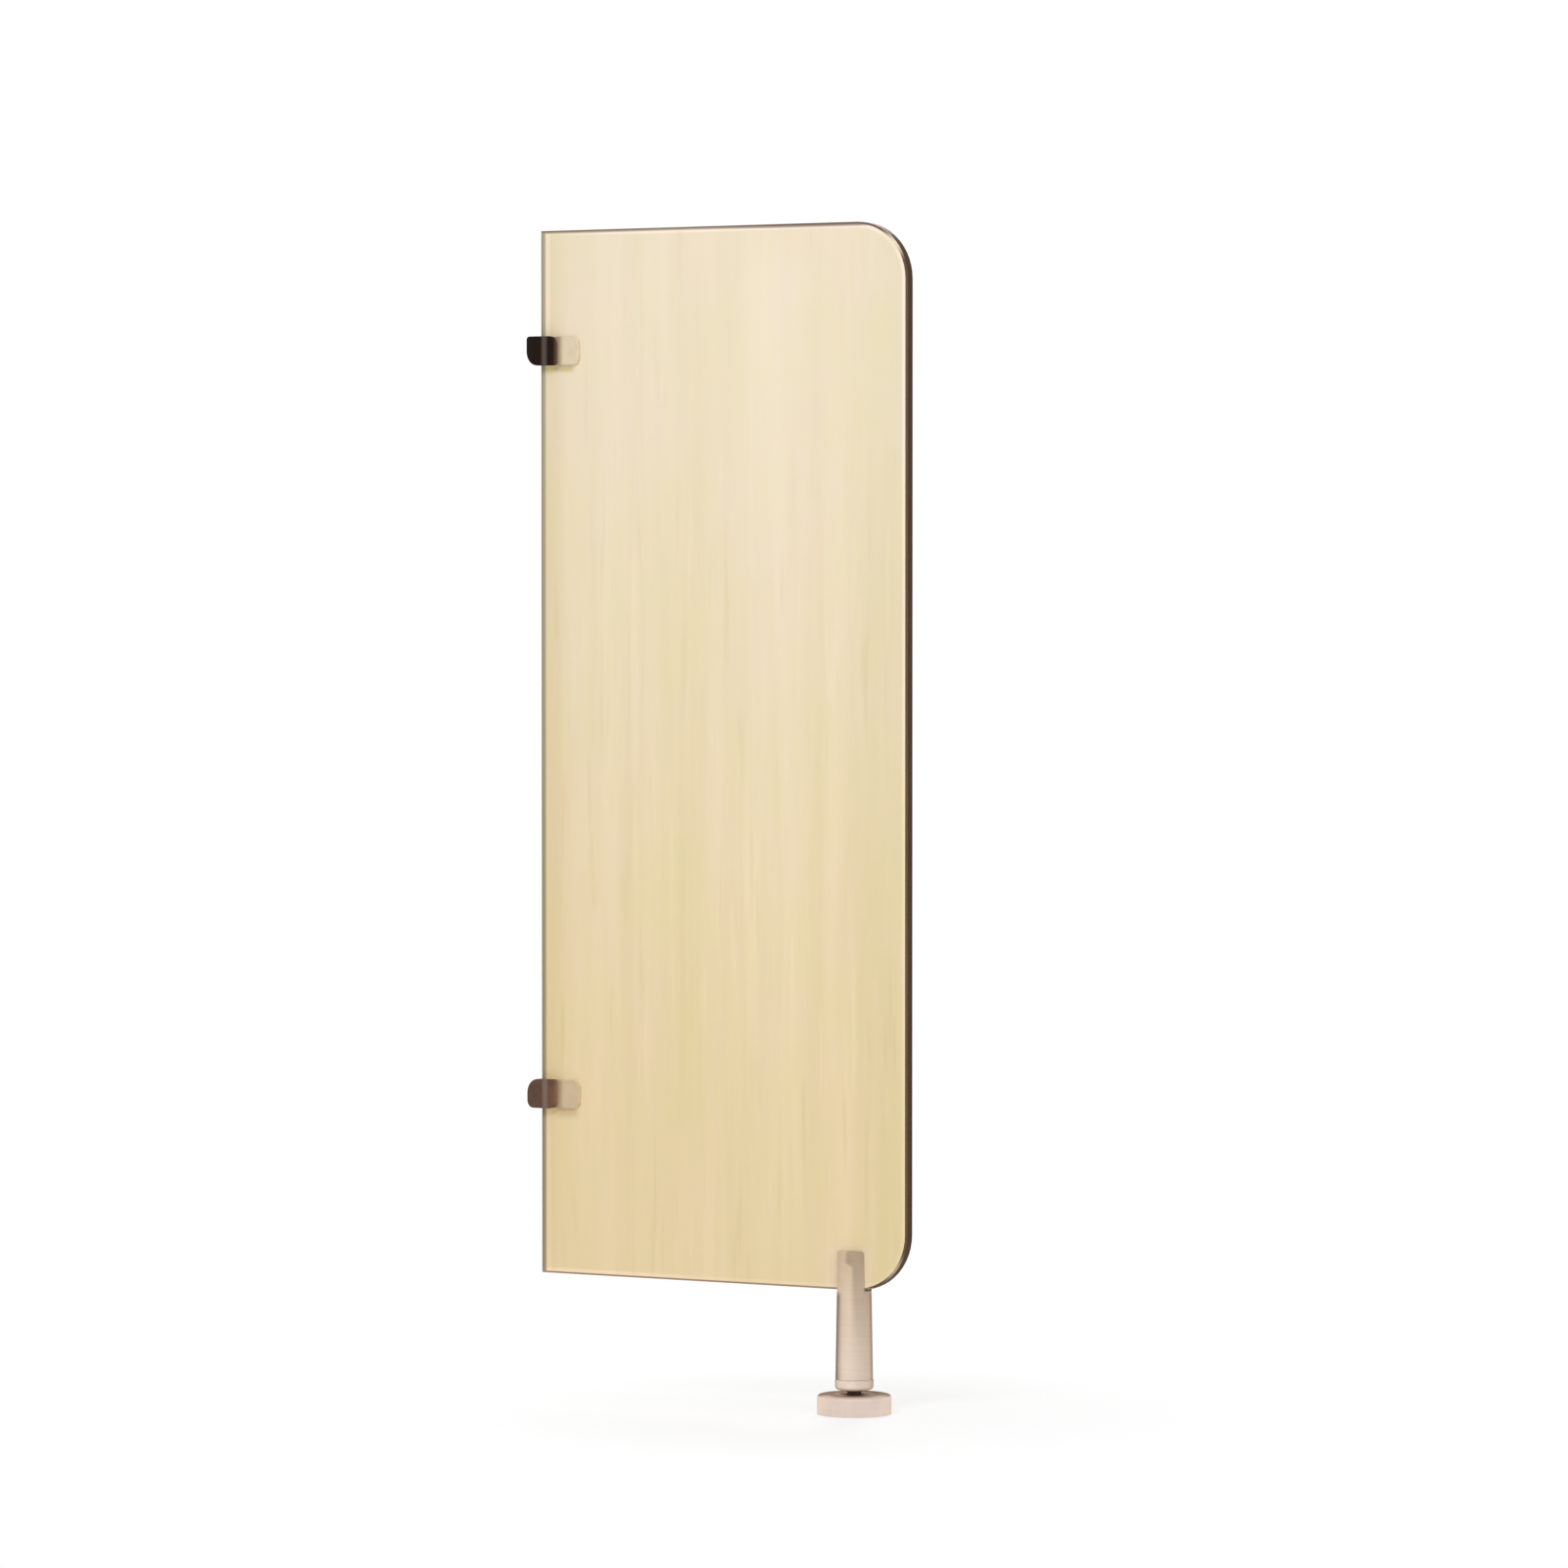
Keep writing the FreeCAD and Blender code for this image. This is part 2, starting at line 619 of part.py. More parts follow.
def floor_flange():
    """The disc that is screwed to the floor, with the boss and socket that carry the stud."""
    disc = foot_rod(flange_diameter, flange_bottom_z, flange_top_z)
    boss = foot_rod(boss_diameter, flange_top_z, boss_top_z)
    half_groove = ring_section / 2 + running_clearance
    groove_floor_diameter = 2 * (ring_centre_radius - half_groove)
    keeper_bore_diameter = keeper_diameter + 2 * thread_clearance
    tools = [
        foot_rod(stud_diameter + 2 * running_clearance, socket_bottom_z, boss_top_z + through),
        rod(keeper_bore_diameter, Vector(foot_x, 0, keeper_z), Y_AXIS, boss_diameter),
        foot_tube(
            flange_diameter + through, groove_floor_diameter, ring_z - half_groove, ring_z + half_groove
        ),
    ]
    hole_length = flange_thickness + 2 * through
    for mouth in floor_hole_centres(flange_top_z):
        tools.append(rod(floor_hole_diameter, mouth + Z_AXIS * through, -Z_AXIS, hole_length))
        tools.append(countersink(floor_hole_diameter, floor_sink_diameter, mouth, -Z_AXIS))
    return disc.fuse(boss).cut(Part.makeCompound(tools))


def stud_keeper():
    """The small set screw whose end runs in the stud's groove and keeps the stud in its socket."""
    inner_y = stud_groove_diameter / 2 + running_clearance
    outer_y = boss_diameter / 2 - running_clearance
    screw = rod(keeper_diameter, Vector(foot_x, inner_y, keeper_z), Y_AXIS, outer_y - inner_y)
    socket_start = Vector(foot_x, outer_y - keeper_socket_depth, keeper_z)
    socket = hexagon_bar(keeper_socket_across, socket_start, Y_AXIS, keeper_socket_depth + through)
    return screw.cut(socket)


def cover_ring():
    """The rubber ring in the flange's rim that grips the cover."""
    return Part.makeTorus(ring_centre_radius, ring_section / 2, Vector(foot_x, 0, ring_z), Z_AXIS)


def flange_cover():
    """The loose cup over the flange, with a hole that the stud and its nut pass through."""
    cup = foot_rod(cover_diameter, cover_bottom_z, cover_top_z)
    cup = cup.makeFillet(cover_top_radius, flat_edges(cup, "z", cover_top_z))
    ceiling_z = cover_top_z - cover_top_wall
    hollow = foot_rod(cover_diameter - 2 * cover_wall, cover_bottom_z - through, ceiling_z)
    hollow_radius = max(cover_top_radius - cover_wall, cover_wall / 2)
    hollow = hollow.makeFillet(hollow_radius, flat_edges(hollow, "z", ceiling_z))
    hole_diameter = nut_across_corners + 2 * nut_to_cover_clearance
    hole = foot_rod(hole_diameter, ceiling_z - through, cover_top_z + through)
    return cup.cut(Part.makeCompound([hollow, hole]))


def floor_pad():
    """The rubber disc under the flange."""
    disc = foot_rod(flange_diameter - 2 * floor_pad_inset, floor_z, flange_bottom_z)
    holes = []
    for centre in floor_hole_centres(floor_z - through):
        holes.append(rod(floor_hole_diameter, centre, Z_AXIS, floor_pad_thickness + 2 * through))
    return disc.cut(Part.makeCompound(holes))


def foot_pieces():
    """Every piece of the foot."""
    return {
        "foot_column": foot_column(),
        "slot_liner": slot_liner(),
        "foot_fixing_screws": foot_fixing_screws(),
        "column_collar": column_collar(),
        "threaded_insert": threaded_insert(),
        "levelling_stud": levelling_stud(),
        "lock_washer": lock_washer(),
        "lock_nut": lock_nut(),
        "floor_flange": floor_flange(),
        "stud_keeper": stud_keeper(),
        "cover_ring": cover_ring(),
        "flange_cover": flange_cover(),
        "floor_pad": floor_pad(),
    }


def main():
    """Builds every piece and writes one STEP file for each."""
    os.makedirs("parts", exist_ok=True)
    pieces = panel_pieces()
    inner_radii = (clamp_inner_radius, clamp_nose_inner_radius)
    upper_radii = (*inner_radii, clamp_nose_outer_radius, upper_clamp_outer_radius)
    lower_radii = (lower_clamp_outer_radius, clamp_nose_outer_radius, *reversed(inner_radii))
    pieces.update(clamp_pieces("upper", upper_clamp_z, upper_hole_z, upper_radii))
    pieces.update(clamp_pieces("lower", lower_clamp_z, lower_hole_z, lower_radii))
    pieces.update(foot_pieces())
    for name, shape in pieces.items():
        if not shape.isValid() or not shape.Solids:
            raise RuntimeError(name + " is not a sound solid")
        shape.exportStep(os.path.join("parts", name + ".step"))
        print(name, len(shape.Solids), round(shape.Volume, 1))


main()
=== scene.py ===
"""Looks of the urinal privacy screen: materials, screw threads, studio and camera.

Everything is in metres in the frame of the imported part: X runs out from the wall along the
panel, +Z is up, and the panel's front face looks towards -Y.
"""

import math

import bpy
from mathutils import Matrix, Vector


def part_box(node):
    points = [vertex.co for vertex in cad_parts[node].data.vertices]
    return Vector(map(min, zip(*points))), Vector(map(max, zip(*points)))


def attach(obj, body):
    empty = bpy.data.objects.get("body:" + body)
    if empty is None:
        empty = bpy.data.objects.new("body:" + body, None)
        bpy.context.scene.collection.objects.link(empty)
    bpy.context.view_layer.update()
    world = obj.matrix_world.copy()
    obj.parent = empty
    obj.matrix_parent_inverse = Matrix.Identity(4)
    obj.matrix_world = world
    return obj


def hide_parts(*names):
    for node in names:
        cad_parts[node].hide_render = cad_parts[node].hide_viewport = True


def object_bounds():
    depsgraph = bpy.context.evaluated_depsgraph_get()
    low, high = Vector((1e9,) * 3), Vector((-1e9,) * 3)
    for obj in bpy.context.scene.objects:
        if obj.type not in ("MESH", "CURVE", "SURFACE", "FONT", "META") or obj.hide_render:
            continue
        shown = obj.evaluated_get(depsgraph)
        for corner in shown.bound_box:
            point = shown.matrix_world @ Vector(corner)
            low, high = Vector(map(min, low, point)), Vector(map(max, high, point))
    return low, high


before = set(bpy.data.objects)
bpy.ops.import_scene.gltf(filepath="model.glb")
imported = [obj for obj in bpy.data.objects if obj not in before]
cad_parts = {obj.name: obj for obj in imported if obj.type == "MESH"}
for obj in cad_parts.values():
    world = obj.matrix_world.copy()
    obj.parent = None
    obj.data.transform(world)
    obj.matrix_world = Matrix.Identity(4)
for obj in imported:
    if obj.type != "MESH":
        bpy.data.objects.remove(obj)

cad_low, cad_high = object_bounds()
MM = 0.001

# ---------------------------------------------------------------- places, from the frame

panel_low, panel_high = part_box("panel_core")
face_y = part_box("front_decor")[0].y
half_panel = -face_y
panel_corner = 54 * MM
panel_bevel = 2 * MM

stud_low, stud_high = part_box("levelling_stud")
flange_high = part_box("floor_flange")[1]
cover_low, cover_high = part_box("flange_cover")
foot_axis = Vector(((cover_low.x + cover_high.x) / 2, 0, 0))
floor_z = cad_low.z
clamp_nose_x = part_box("upper_clamp_body")[1].x

# Bearings round the foot, in degrees: 0 is in front, and a positive one is towards +X.
# The foot's painted light and shade are laid out by these bearings.
TAN_BEARING = 119.0
FRONT_BEARING = 29.0

# ---------------------------------------------------------------- colours, as 8-bit sRGB


def srgb(red, green, blue):
    """A colour as a picture editor shows it, turned into the linear values that a shader takes."""
    linear = []
    for value in (red, green, blue):
        share = value / 255
        linear.append(share / 12.92 if share <= 0.04045 else ((share + 0.055) / 1.055) ** 2.4)
    return (*linear, 1.0)


WOOD_TOP = srgb(234, 220, 194)
WOOD_BOTTOM = srgb(231, 211, 169)
WALL_LINE_TOP = srgb(168, 156, 135)
WALL_LINE_BOTTOM = srgb(153, 137, 105)
TOP_LINE = srgb(184, 170, 146)
TOP_LINE_FREE = srgb(156, 138, 122)
CORE_EDGE = srgb(70, 44, 20)
CORE_BEVEL = srgb(98, 79, 58)
CORE_TOP_BEVEL = srgb(140, 125, 104)
CORE_TOP_BEVEL_FREE = srgb(108, 91, 76)
CORE_BOTTOM_BEVEL = srgb(176, 146, 120)
CORE_CORNER_BEVEL = srgb(236, 220, 192)
# The two clamps share one finish. Their separate colours below paint deeper shade on the upper
# clamp and more light and reflection on the lower one.
CLAMP_UPPER = srgb(30, 19, 14)
CLAMP_LOWER = srgb(98, 74, 63)
HIGHLIGHT_UPPER = srgb(84, 71, 67)
HIGHLIGHT_LOWER = srgb(123, 101, 91)
NOSE_LIGHT_UPPER = srgb(138, 118, 96)
NOSE_LIGHT_LOWER = srgb(182, 158, 130)
JAW_UPPER = srgb(217, 201, 171)
JAW_LOWER = srgb(202, 180, 147)
# On the post and the collar, the pale colours paint the lit side, the tan ones paint the shaded and
# reflecting side, and the tops paint shade.
COLUMN_PALE = srgb(230, 212, 195)
COLUMN_PALE_TOP = srgb(208, 184, 154)
COLUMN_TAN = srgb(214, 196, 181)
COLUMN_TAN_TOP = srgb(168, 148, 124)
RUBBED_COAT = srgb(240, 226, 210)
COLLAR_PALE = srgb(240, 223, 207)
COLLAR_TAN = srgb(227, 206, 191)
COVER_SIDE = srgb(228, 209, 196)
# The base's brown top is painted shade. Its paler middle and front rim are painted light.
COVER_TOP = srgb(157, 135, 117)
COVER_TOP_MIDDLE = srgb(214, 190, 172)
COVER_TOP_RIM = srgb(212, 192, 176)
STEEL = srgb(186, 184, 180)
BLACK_STEEL = srgb(78, 54, 42)
BRASS = srgb(212, 176, 106)
ZINC = srgb(176, 178, 180)
CLEAR_RUBBER = srgb(236, 224, 200)
BLACK_RUBBER = srgb(34, 33, 33)

# ---------------------------------------------------------------- shader helper


class Shader:
    """One node material. What is fed to a node is a number, a colour or another node's socket."""

    def __init__(self, name):
        self.material = bpy.data.materials.new(name)
        self.material.use_nodes = True
        self.tree = self.material.node_tree
        self.tree.nodes.clear()
        self.place = self.node("TexCoord").outputs["Object"]
        split = self.node("SeparateXYZ")
        self.feed(split.inputs[0], self.place)
        self.x, self.y, self.z = split.outputs

    def node(self, kind, **settings):
        """A new shader node, named without its ShaderNode prefix."""
        made = self.tree.nodes.new("ShaderNode" + kind)
        for key, value in settings.items():
            setattr(made, key, value)
        return made

    def feed(self, socket, value):
        """Sets an input socket to a value, or links it to another node's socket."""
        if isinstance(value, bpy.types.NodeSocket):
            self.tree.links.new(value, socket)
        else:
            socket.default_value = value

    def math(self, operation, *values):
        """The result of one Math node, such as MAXIMUM."""
        made = self.node("Math", operation=operation)
        for socket, value in zip(made.inputs, values):
            self.feed(socket, value)
        return made.outputs[0]

    def times(self, product, *factors):
        """The product of two or more values."""
        for factor in factors:
            product = self.math("MULTIPLY", product, factor)
        return product

    def apart(self, first, second):
        """How far apart two values are."""
        return self.math("ABSOLUTE", self.math("SUBTRACT", first, second))

    def length(self, first, second):
        """The length of a line whose two legs are given."""
        squares = self.math("MULTIPLY_ADD", first, first, self.times(second, second))
        return self.math("SQRT", squares)

    def spread(self, value, low, high, to_low=0.0, to_high=1.0, way="SMOOTHSTEP"):
        """Maps low..high smoothly onto to_low..to_high, and holds it outside."""
        made = self.node("MapRange", interpolation_type=way)
        for socket, fed in zip(made.inputs, (value, low, high, to_low, to_high)):
            self.feed(socket, fed)
        return made.outputs[0]

    def noise(self, size, seed, detail=2.0):
        """Noise whose patches are about that long along X, Y and Z, in metres."""
        stretch = self.node("VectorMath", operation="MULTIPLY_ADD")
        self.feed(stretch.inputs[0], self.place)
        self.feed(stretch.inputs[1], tuple(1 / length for length in size))
        self.feed(stretch.inputs[2], (seed, 2.3 * seed, 3.7 * seed))
        made = self.node("TexNoise")
        self.feed(made.inputs["Vector"], stretch.outputs[0])
        self.feed(made.inputs["Scale"], 1.0)
        self.feed(made.inputs["Detail"], detail)
        return made.outputs[0]

    def mix(self, share, first, second, blend="MIX"):
        """The first colour where the share is 0, and the second or their blend where it is 1."""
        made = self.node("Mix", data_type="RGBA", blend_type=blend)
        self.feed(made.inputs[0], share)
        self.feed(made.inputs[6], first)
        self.feed(made.inputs[7], second)
        return made.outputs[2]

    def tint(self, colour, share, low, high):
        """Multiplies a colour by something between two tints, such as (0.98, 0.97, 0.95)."""
        tints = self.mix(share, (*low, 1.0), (*high, 1.0))
        return self.mix(1.0, colour, tints, "MULTIPLY")

    def touch(self, colour, share, peak):
        """Multiplies a colour by a tint where the share is 1, and leaves it where that is 0."""
        return self.tint(colour, share, (1, 1, 1), peak)

    def mottle(self, colour, noise, low, high):
        """Tints a colour by a noise, from one tint to the other over most of the noise's values."""
        return self.tint(colour, self.spread(noise, 0.35, 0.65), low, high)

    def varied(self, noise, low, high):
        """A value that varies with a noise, such as a roughness."""
        return self.spread(noise, 0.3, 0.7, low, high)

    def bump(self, height, depth, strength):
        """A normal that makes the surface look as rough as a height that varies from 0 to 1."""
        made = self.node("Bump")
        self.feed(made.inputs["Strength"], strength)
        self.feed(made.inputs["Distance"], depth)
        self.feed(made.inputs["Height"], height)
        return made.outputs["Normal"]

    def edge(self, radius):
        """About 1 on an edge that is sharper than the radius, and 0 on a flat."""
        on_flat, on_sharp = 0.995, 0.85
        soft = self.node("Bevel", samples=8)
        self.feed(soft.inputs["Radius"], radius)
        hard = self.node("NewGeometry")
        dot = self.node("VectorMath", operation="DOT_PRODUCT")
        self.feed(dot.inputs[0], soft.outputs[0])
        self.feed(dot.inputs[1], hard.outputs["Normal"])
        return self.spread(dot.outputs["Value"], on_flat, on_sharp)

    def principled(self, **values):
        """The surface itself. Names are the sockets' names with _ for a space."""
        surface = self.node("BsdfPrincipled")
        for key, value in values.items():
            self.feed(surface.inputs[key.replace("_", " ")], value)
        return self.finished(surface)

    def blend(self, share, first, second):
        """A node that shows the first surface where the share is 0 and the second where it is 1."""
        made = self.node("MixShader")
        self.feed(made.inputs[0], share)
        self.feed(made.inputs[1], first.outputs[0])
        self.feed(made.inputs[2], second.outputs[0])
        return made

    def finished(self, surface):
        """The material, with the surface that a node makes as its output."""
        output = self.node("OutputMaterial")
        self.feed(output.inputs["Surface"], surface.outputs[0])
        return self.material


# ---------------------------------------------------------------- panel


def past_corner(shader):
    """How far a place is past the centres of the panel's rounded corners, along X and Z."""
    middle_z = (panel_low.z + panel_high.z) / 2
    half_height = (panel_high.z - panel_low.z) / 2
    past_x = shader.math("SUBTRACT", shader.x, panel_high.x - panel_corner)
    from_middle = shader.apart(shader.z, middle_z)
    past_z = shader.math("SUBTRACT", from_middle, half_height - panel_corner)
    return past_x, past_z


def rim_distance(shader):
    """How far a place on the panel is from its top, bottom and rounded free edge, in metres."""
    past_x, past_z = past_corner(shader)
    round_x = shader.math("MAXIMUM", past_x, 0.0)
    round_z = shader.math("MAXIMUM", past_z, 0.0)
    outside = shader.length(round_x, round_z)
    inside = shader.math("MINIMUM", shader.math("MAXIMUM", past_x, past_z), 0.0)
    return shader.math("SUBTRACT", panel_corner, shader.math("ADD", outside, inside))


def stripe(shader, colour, middle, half_width, low, high, peak):
    """A soft upright stripe of tint on the panel.

    The middle is its distance from the panel's wall edge, low and high are the heights where it has
    faded out, and the peak is its tint halfway across.
    """
    end_fade = 60 * MM
    off = shader.apart(shader.x, panel_low.x + middle)
    across = shader.spread(off, 0.3 * half_width, half_width, 1.0, 0.0)
    from_low = shader.spread(shader.z, low, low + end_fade)
    from_high = shader.spread(shader.z, high, high - end_fade)
    return shader.touch(colour, shader.times(across, from_low, from_high), peak)


def wood_grain(s, colour):
    """Straight grain, calmer towards the top: slow bands, sparse streaks and faint fibres."""
    strength = s.spread(s.z, 60 * MM, 360 * MM, 1.0, 0.5)
    patches = s.noise((0.055, 0.010, 0.120), seed=5.0, detail=1.0)
    rosier = s.spread(patches, 0.38, 0.62)
    colour = s.tint(colour, rosier, (0.992, 1.000, 0.965), (1.004, 0.996, 1.010))
    bands = s.noise((0.034, 0.010, 0.600), seed=1.0, detail=1.0)
    colour = s.mottle(colour, bands, (0.986, 0.984, 0.974), (1.008, 1.009, 1.018))

    flecks = s.noise((0.011, 0.010, 0.060), seed=27.0, detail=1.0)
    colour = s.mottle(colour, flecks, (0.999, 1.000, 0.984), (1.001, 1.000, 1.014))
    grain = s.noise((0.015, 0.010, 0.320), seed=17.0, detail=1.0)
    deep = s.times(s.spread(grain, 0.65, 0.35), strength)
    colour = s.tint(colour, deep, (1.008, 1.008, 1.012), (0.985, 0.984, 0.974))

    dark = s.spread(s.noise((0.0085, 0.010, 0.170), seed=9.0, detail=1.0), 0.56, 0.72)
    where = s.spread(s.noise((0.060, 0.010, 0.160), seed=21.0), 0.44, 0.58)
    colour = s.touch(colour, s.times(dark, where, strength), (0.954, 0.946, 0.913))
    pale = s.spread(s.noise((0.0090, 0.010, 0.150), seed=33.0, detail=1.0), 0.60, 0.76)
    colour = s.touch(colour, s.times(pale, strength), (1.024, 1.027, 1.044))

    fibres = s.noise((0.0016, 0.010, 0.045), seed=13.0, detail=3.0)
    fine = s.times(s.spread(fibres, 0.75, 0.25), strength)
    colour = s.tint(colour, fine, (1.005, 1.005, 1.006), (0.992, 0.991, 0.986))
    return colour, dark, fibres


def painted_clamp_shadow(s, colour, plate, depth, end, under_nose, under_plate):
    """A painted shadow on the panel under a clamp's nose and its jaw plate.

    It reaches a depth below the plate and ends so far before the plate's end. It has one tint
    under the nose, painted light that lifts and yellows the real cast shadow there, and another
    under the plate, a painted shadow eased just below the plate.
    """
    plate_low, plate_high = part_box(plate)
    middle_z = (plate_low.z + plate_high.z) / 2
    fades_in = s.spread(s.z, plate_low.z - depth, plate_low.z - 0.4 * depth)
    under = s.times(fades_in, s.spread(s.z, middle_z, middle_z - 5 * MM))
    from_nose = s.spread(s.x, plate_low.x + 8 * MM, plate_low.x + 22 * MM)
    at_nose = s.times(under, s.math("SUBTRACT", 1.0, from_nose))
    colour = s.touch(colour, at_nose, under_nose)
    eased_near_plate = s.spread(s.z, plate_low.z - 3.5 * MM, plate_low.z - 0.5 * MM, 1.0, 0.2)
    along = s.spread(s.x, plate_high.x - end, plate_high.x - end - 9 * MM)
    return s.touch(colour, s.times(under, along, from_nose, eased_near_plate), under_plate)


def at_free_end(s):
    """0 near the wall, and 1 where the panel's top runs into its rounded corner."""
    return s.spread(s.x, panel_low.x + 150 * MM, panel_low.x + 300 * MM)


def on_corner(s):
    """1 half way round the panel's two rounded corners, and 0 along its straight edges."""
    half_way_round = s.math("MINIMUM", *past_corner(s))
    return s.spread(half_way_round, 0.30 * panel_corner, 0.62 * panel_corner)


def bevel_tone(s):
    """The core's brown on the panel's bevels, paler along the top and the bottom as painted light.

    The rounded corners get a painted highlight, palest where they face more to the side than up or
    down, and stronger on the upper corner.
    """
    at_bottom = s.spread(s.z, panel_low.z + 4 * MM, panel_low.z + 2.5 * MM)
    at_top = s.spread(s.z, panel_high.z - 16 * MM, panel_high.z - 3 * MM)
    top = s.mix(at_free_end(s), CORE_TOP_BEVEL, CORE_TOP_BEVEL_FREE)
    tone = s.mix(at_top, s.mix(at_bottom, CORE_BEVEL, CORE_BOTTOM_BEVEL), top)
    lean = s.math("SUBTRACT", *past_corner(s))
    sideways = s.spread(lean, -0.45 * panel_corner, 0.15 * panel_corner)
    painted_light_share = s.spread(s.z, -200 * MM, 200 * MM, 0.50, 0.90)
    return s.mix(s.times(on_corner(s), painted_light_share, sideways), tone, CORE_CORNER_BEVEL)


def wood_decor():
    """Straight-grained pale wood print under a satin skin, with the core's brown at its edge."""
    s = Shader("wood_decor")
    wall_x = panel_low.x
    # Painted light: the print is paler towards the top and deeper towards the bottom.
    up = s.spread(s.z, panel_low.z + 90 * MM, panel_high.z)
    colour = s.mix(up, WOOD_BOTTOM, WOOD_TOP)
    colour, streaks, fibres = wood_grain(s, colour)
    # Three pale stripes of the print, one of them broad, and a broad dull one.
    bottom, top = panel_low.z, panel_high.z
    colour = stripe(
        s, colour, middle=0.258, half_width=0.050, low=bottom, high=top, peak=(1.022, 1.026, 1.055)
    )
    colour = stripe(
        s, colour, middle=0.105, half_width=0.006, low=-0.08, high=0.20, peak=(1.030, 1.032, 1.045)
    )
    colour = stripe(
        s, colour, middle=0.235, half_width=0.010, low=-0.33, high=-0.09, peak=(1.025, 1.027, 1.040)
    )
    colour = stripe(
        s, colour, middle=0.158, half_width=0.036, low=-0.43, high=0.29, peak=(0.985, 0.995, 0.950)
    )

    # The panel is duller towards its wall edge and its free edge, with a paler line near the wall.
    margin = s.spread(s.x, wall_x, wall_x + 42 * MM)
    colour = s.tint(colour, margin, (0.915, 0.885, 0.800), (1, 1, 1))
    wall_pale_line = dict(middle=8.2 * MM, half_width=4.0 * MM)
    past_top, past_bottom = top + 60 * MM, bottom - 60 * MM
    colour = stripe(s, colour, **wall_pale_line, low=0.330, high=past_top, peak=(1.13, 1.14, 1.20))
    colour = stripe(s, colour, **wall_pale_line, low=past_bottom, high=-0.350, peak=(1.09, 1.08, 1.18))
    free_side = s.spread(s.x, panel_high.x - 80 * MM, panel_high.x - 10 * MM)
    colour = s.touch(colour, free_side, (0.956, 0.966, 0.936))

    # A paler band just inside the bevel, along the top, the bottom and the free edge.
    near_rim = s.spread(rim_distance(s), panel_bevel + 2.4 * MM, panel_bevel + 4.0 * MM, 1.0, 0.0)
    along_top = s.spread(s.x, wall_x + 20 * MM, wall_x + 120 * MM, 0.3, 1.0)
    along_bottom = s.spread(s.x, wall_x + 120 * MM, wall_x + 190 * MM, 1.0, 0.45)
    by_height = s.spread(s.z, -450 * MM, 200 * MM, along_bottom, along_top)
    less_at_corner = s.spread(on_corner(s), 0.0, 1.0, 1.0, 0.55)
    paler_band = s.times(near_rim, by_height, less_at_corner)
    colour = s.touch(colour, paler_band, (1.15, 1.13, 1.30))

    # Painted shadow under the two clamps' jaw plates, with painted light under their noses.
    at_upper = dict(
        depth=9 * MM, end=3 * MM, under_nose=(1.10, 1.10, 0.76), under_plate=(0.72, 0.71, 0.50)
    )
    colour = painted_clamp_shadow(s, colour, "upper_front_jaw_plate", **at_upper)
    at_lower = dict(
        depth=12 * MM, end=-1 * MM, under_nose=(1.22, 1.18, 1.16), under_plate=(0.82, 0.79, 0.73)
    )
    colour = painted_clamp_shadow(s, colour, "lower_front_jaw_plate", **at_lower)

    # The panel is a little bluer beside the foot's jaw.
    column_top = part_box("foot_column")[1].z
    from_jaw = s.apart(s.x, foot_axis.x)
    beside_jaw = s.spread(from_jaw, 17 * MM, 32 * MM, 1.0, 0.0)
    below_jaw_top = s.spread(s.z, column_top + 10 * MM, column_top)
    colour = s.touch(colour, s.times(beside_jaw, below_jaw_top), (1.01, 1.005, 1.12))

    # The brown of the core shows through beside the bevel, along the top and the wall edge.
    from_top = s.math("SUBTRACT", panel_high.z, s.z)
    line_end = s.spread(at_free_end(s), 0.0, 1.0, panel_bevel + 1.7 * MM, panel_bevel + 2.8 * MM)
    top_line = s.mix(at_free_end(s), TOP_LINE, TOP_LINE_FREE)
    colour = s.mix(s.spread(from_top, panel_bevel + 0.3 * MM, line_end), top_line, colour)
    wall_line = s.spread(s.x, wall_x + 4.4 * MM, wall_x + 7.2 * MM)
    colour = s.mix(wall_line, s.mix(up, WALL_LINE_BOTTOM, WALL_LINE_TOP), colour)
    depth = s.math("SUBTRACT", half_panel, s.math("ABSOLUTE", s.y))
    colour = s.mix(s.spread(depth, 0.08 * MM, 0.16 * MM), colour, bevel_tone(s))

    grain = s.math("MULTIPLY_ADD", fibres, 0.7, s.times(streaks, -0.2))
    return s.principled(
        Base_Color=colour,
        Roughness=s.varied(fibres, 0.52, 0.44),
        Specular_IOR_Level=0.25,
        Normal=s.bump(grain, 0.03 * MM, 0.5),
    )


def laminate_core():
    """Dark phenolic core: pressed sheets of paper, milled and oiled, with painted light making it
    paler on its bevels.
    """
    s = Shader("laminate_core")
    from_middle = s.math("ABSOLUTE", s.y)
    bevel_from = half_panel - panel_bevel
    on_bevel = s.spread(from_middle, bevel_from - 0.1 * MM, bevel_from + 0.1 * MM)
    colour = s.mix(on_bevel, CORE_EDGE, bevel_tone(s))
    sheets = s.noise((0.060, 0.00030, 0.060), seed=2.0, detail=1.0)
    colour = s.mottle(colour, sheets, (0.88, 0.87, 0.86), (1.10, 1.11, 1.12))
    marks = s.noise((0.012, 0.0030, 0.012), seed=6.0, detail=4.0)
    colour = s.tint(colour, s.spread(marks, 0.4, 0.7), (0.96, 0.96, 0.96), (1.08, 1.08, 1.08))
    return s.principled(
        Base_Color=colour,
        Roughness=s.varied(marks, 0.45, 0.60),
        Specular_IOR_Level=0.12,
        Normal=s.bump(sheets, 0.02 * MM, 0.6),
    )


# ---------------------------------------------------------------- metals and rubber


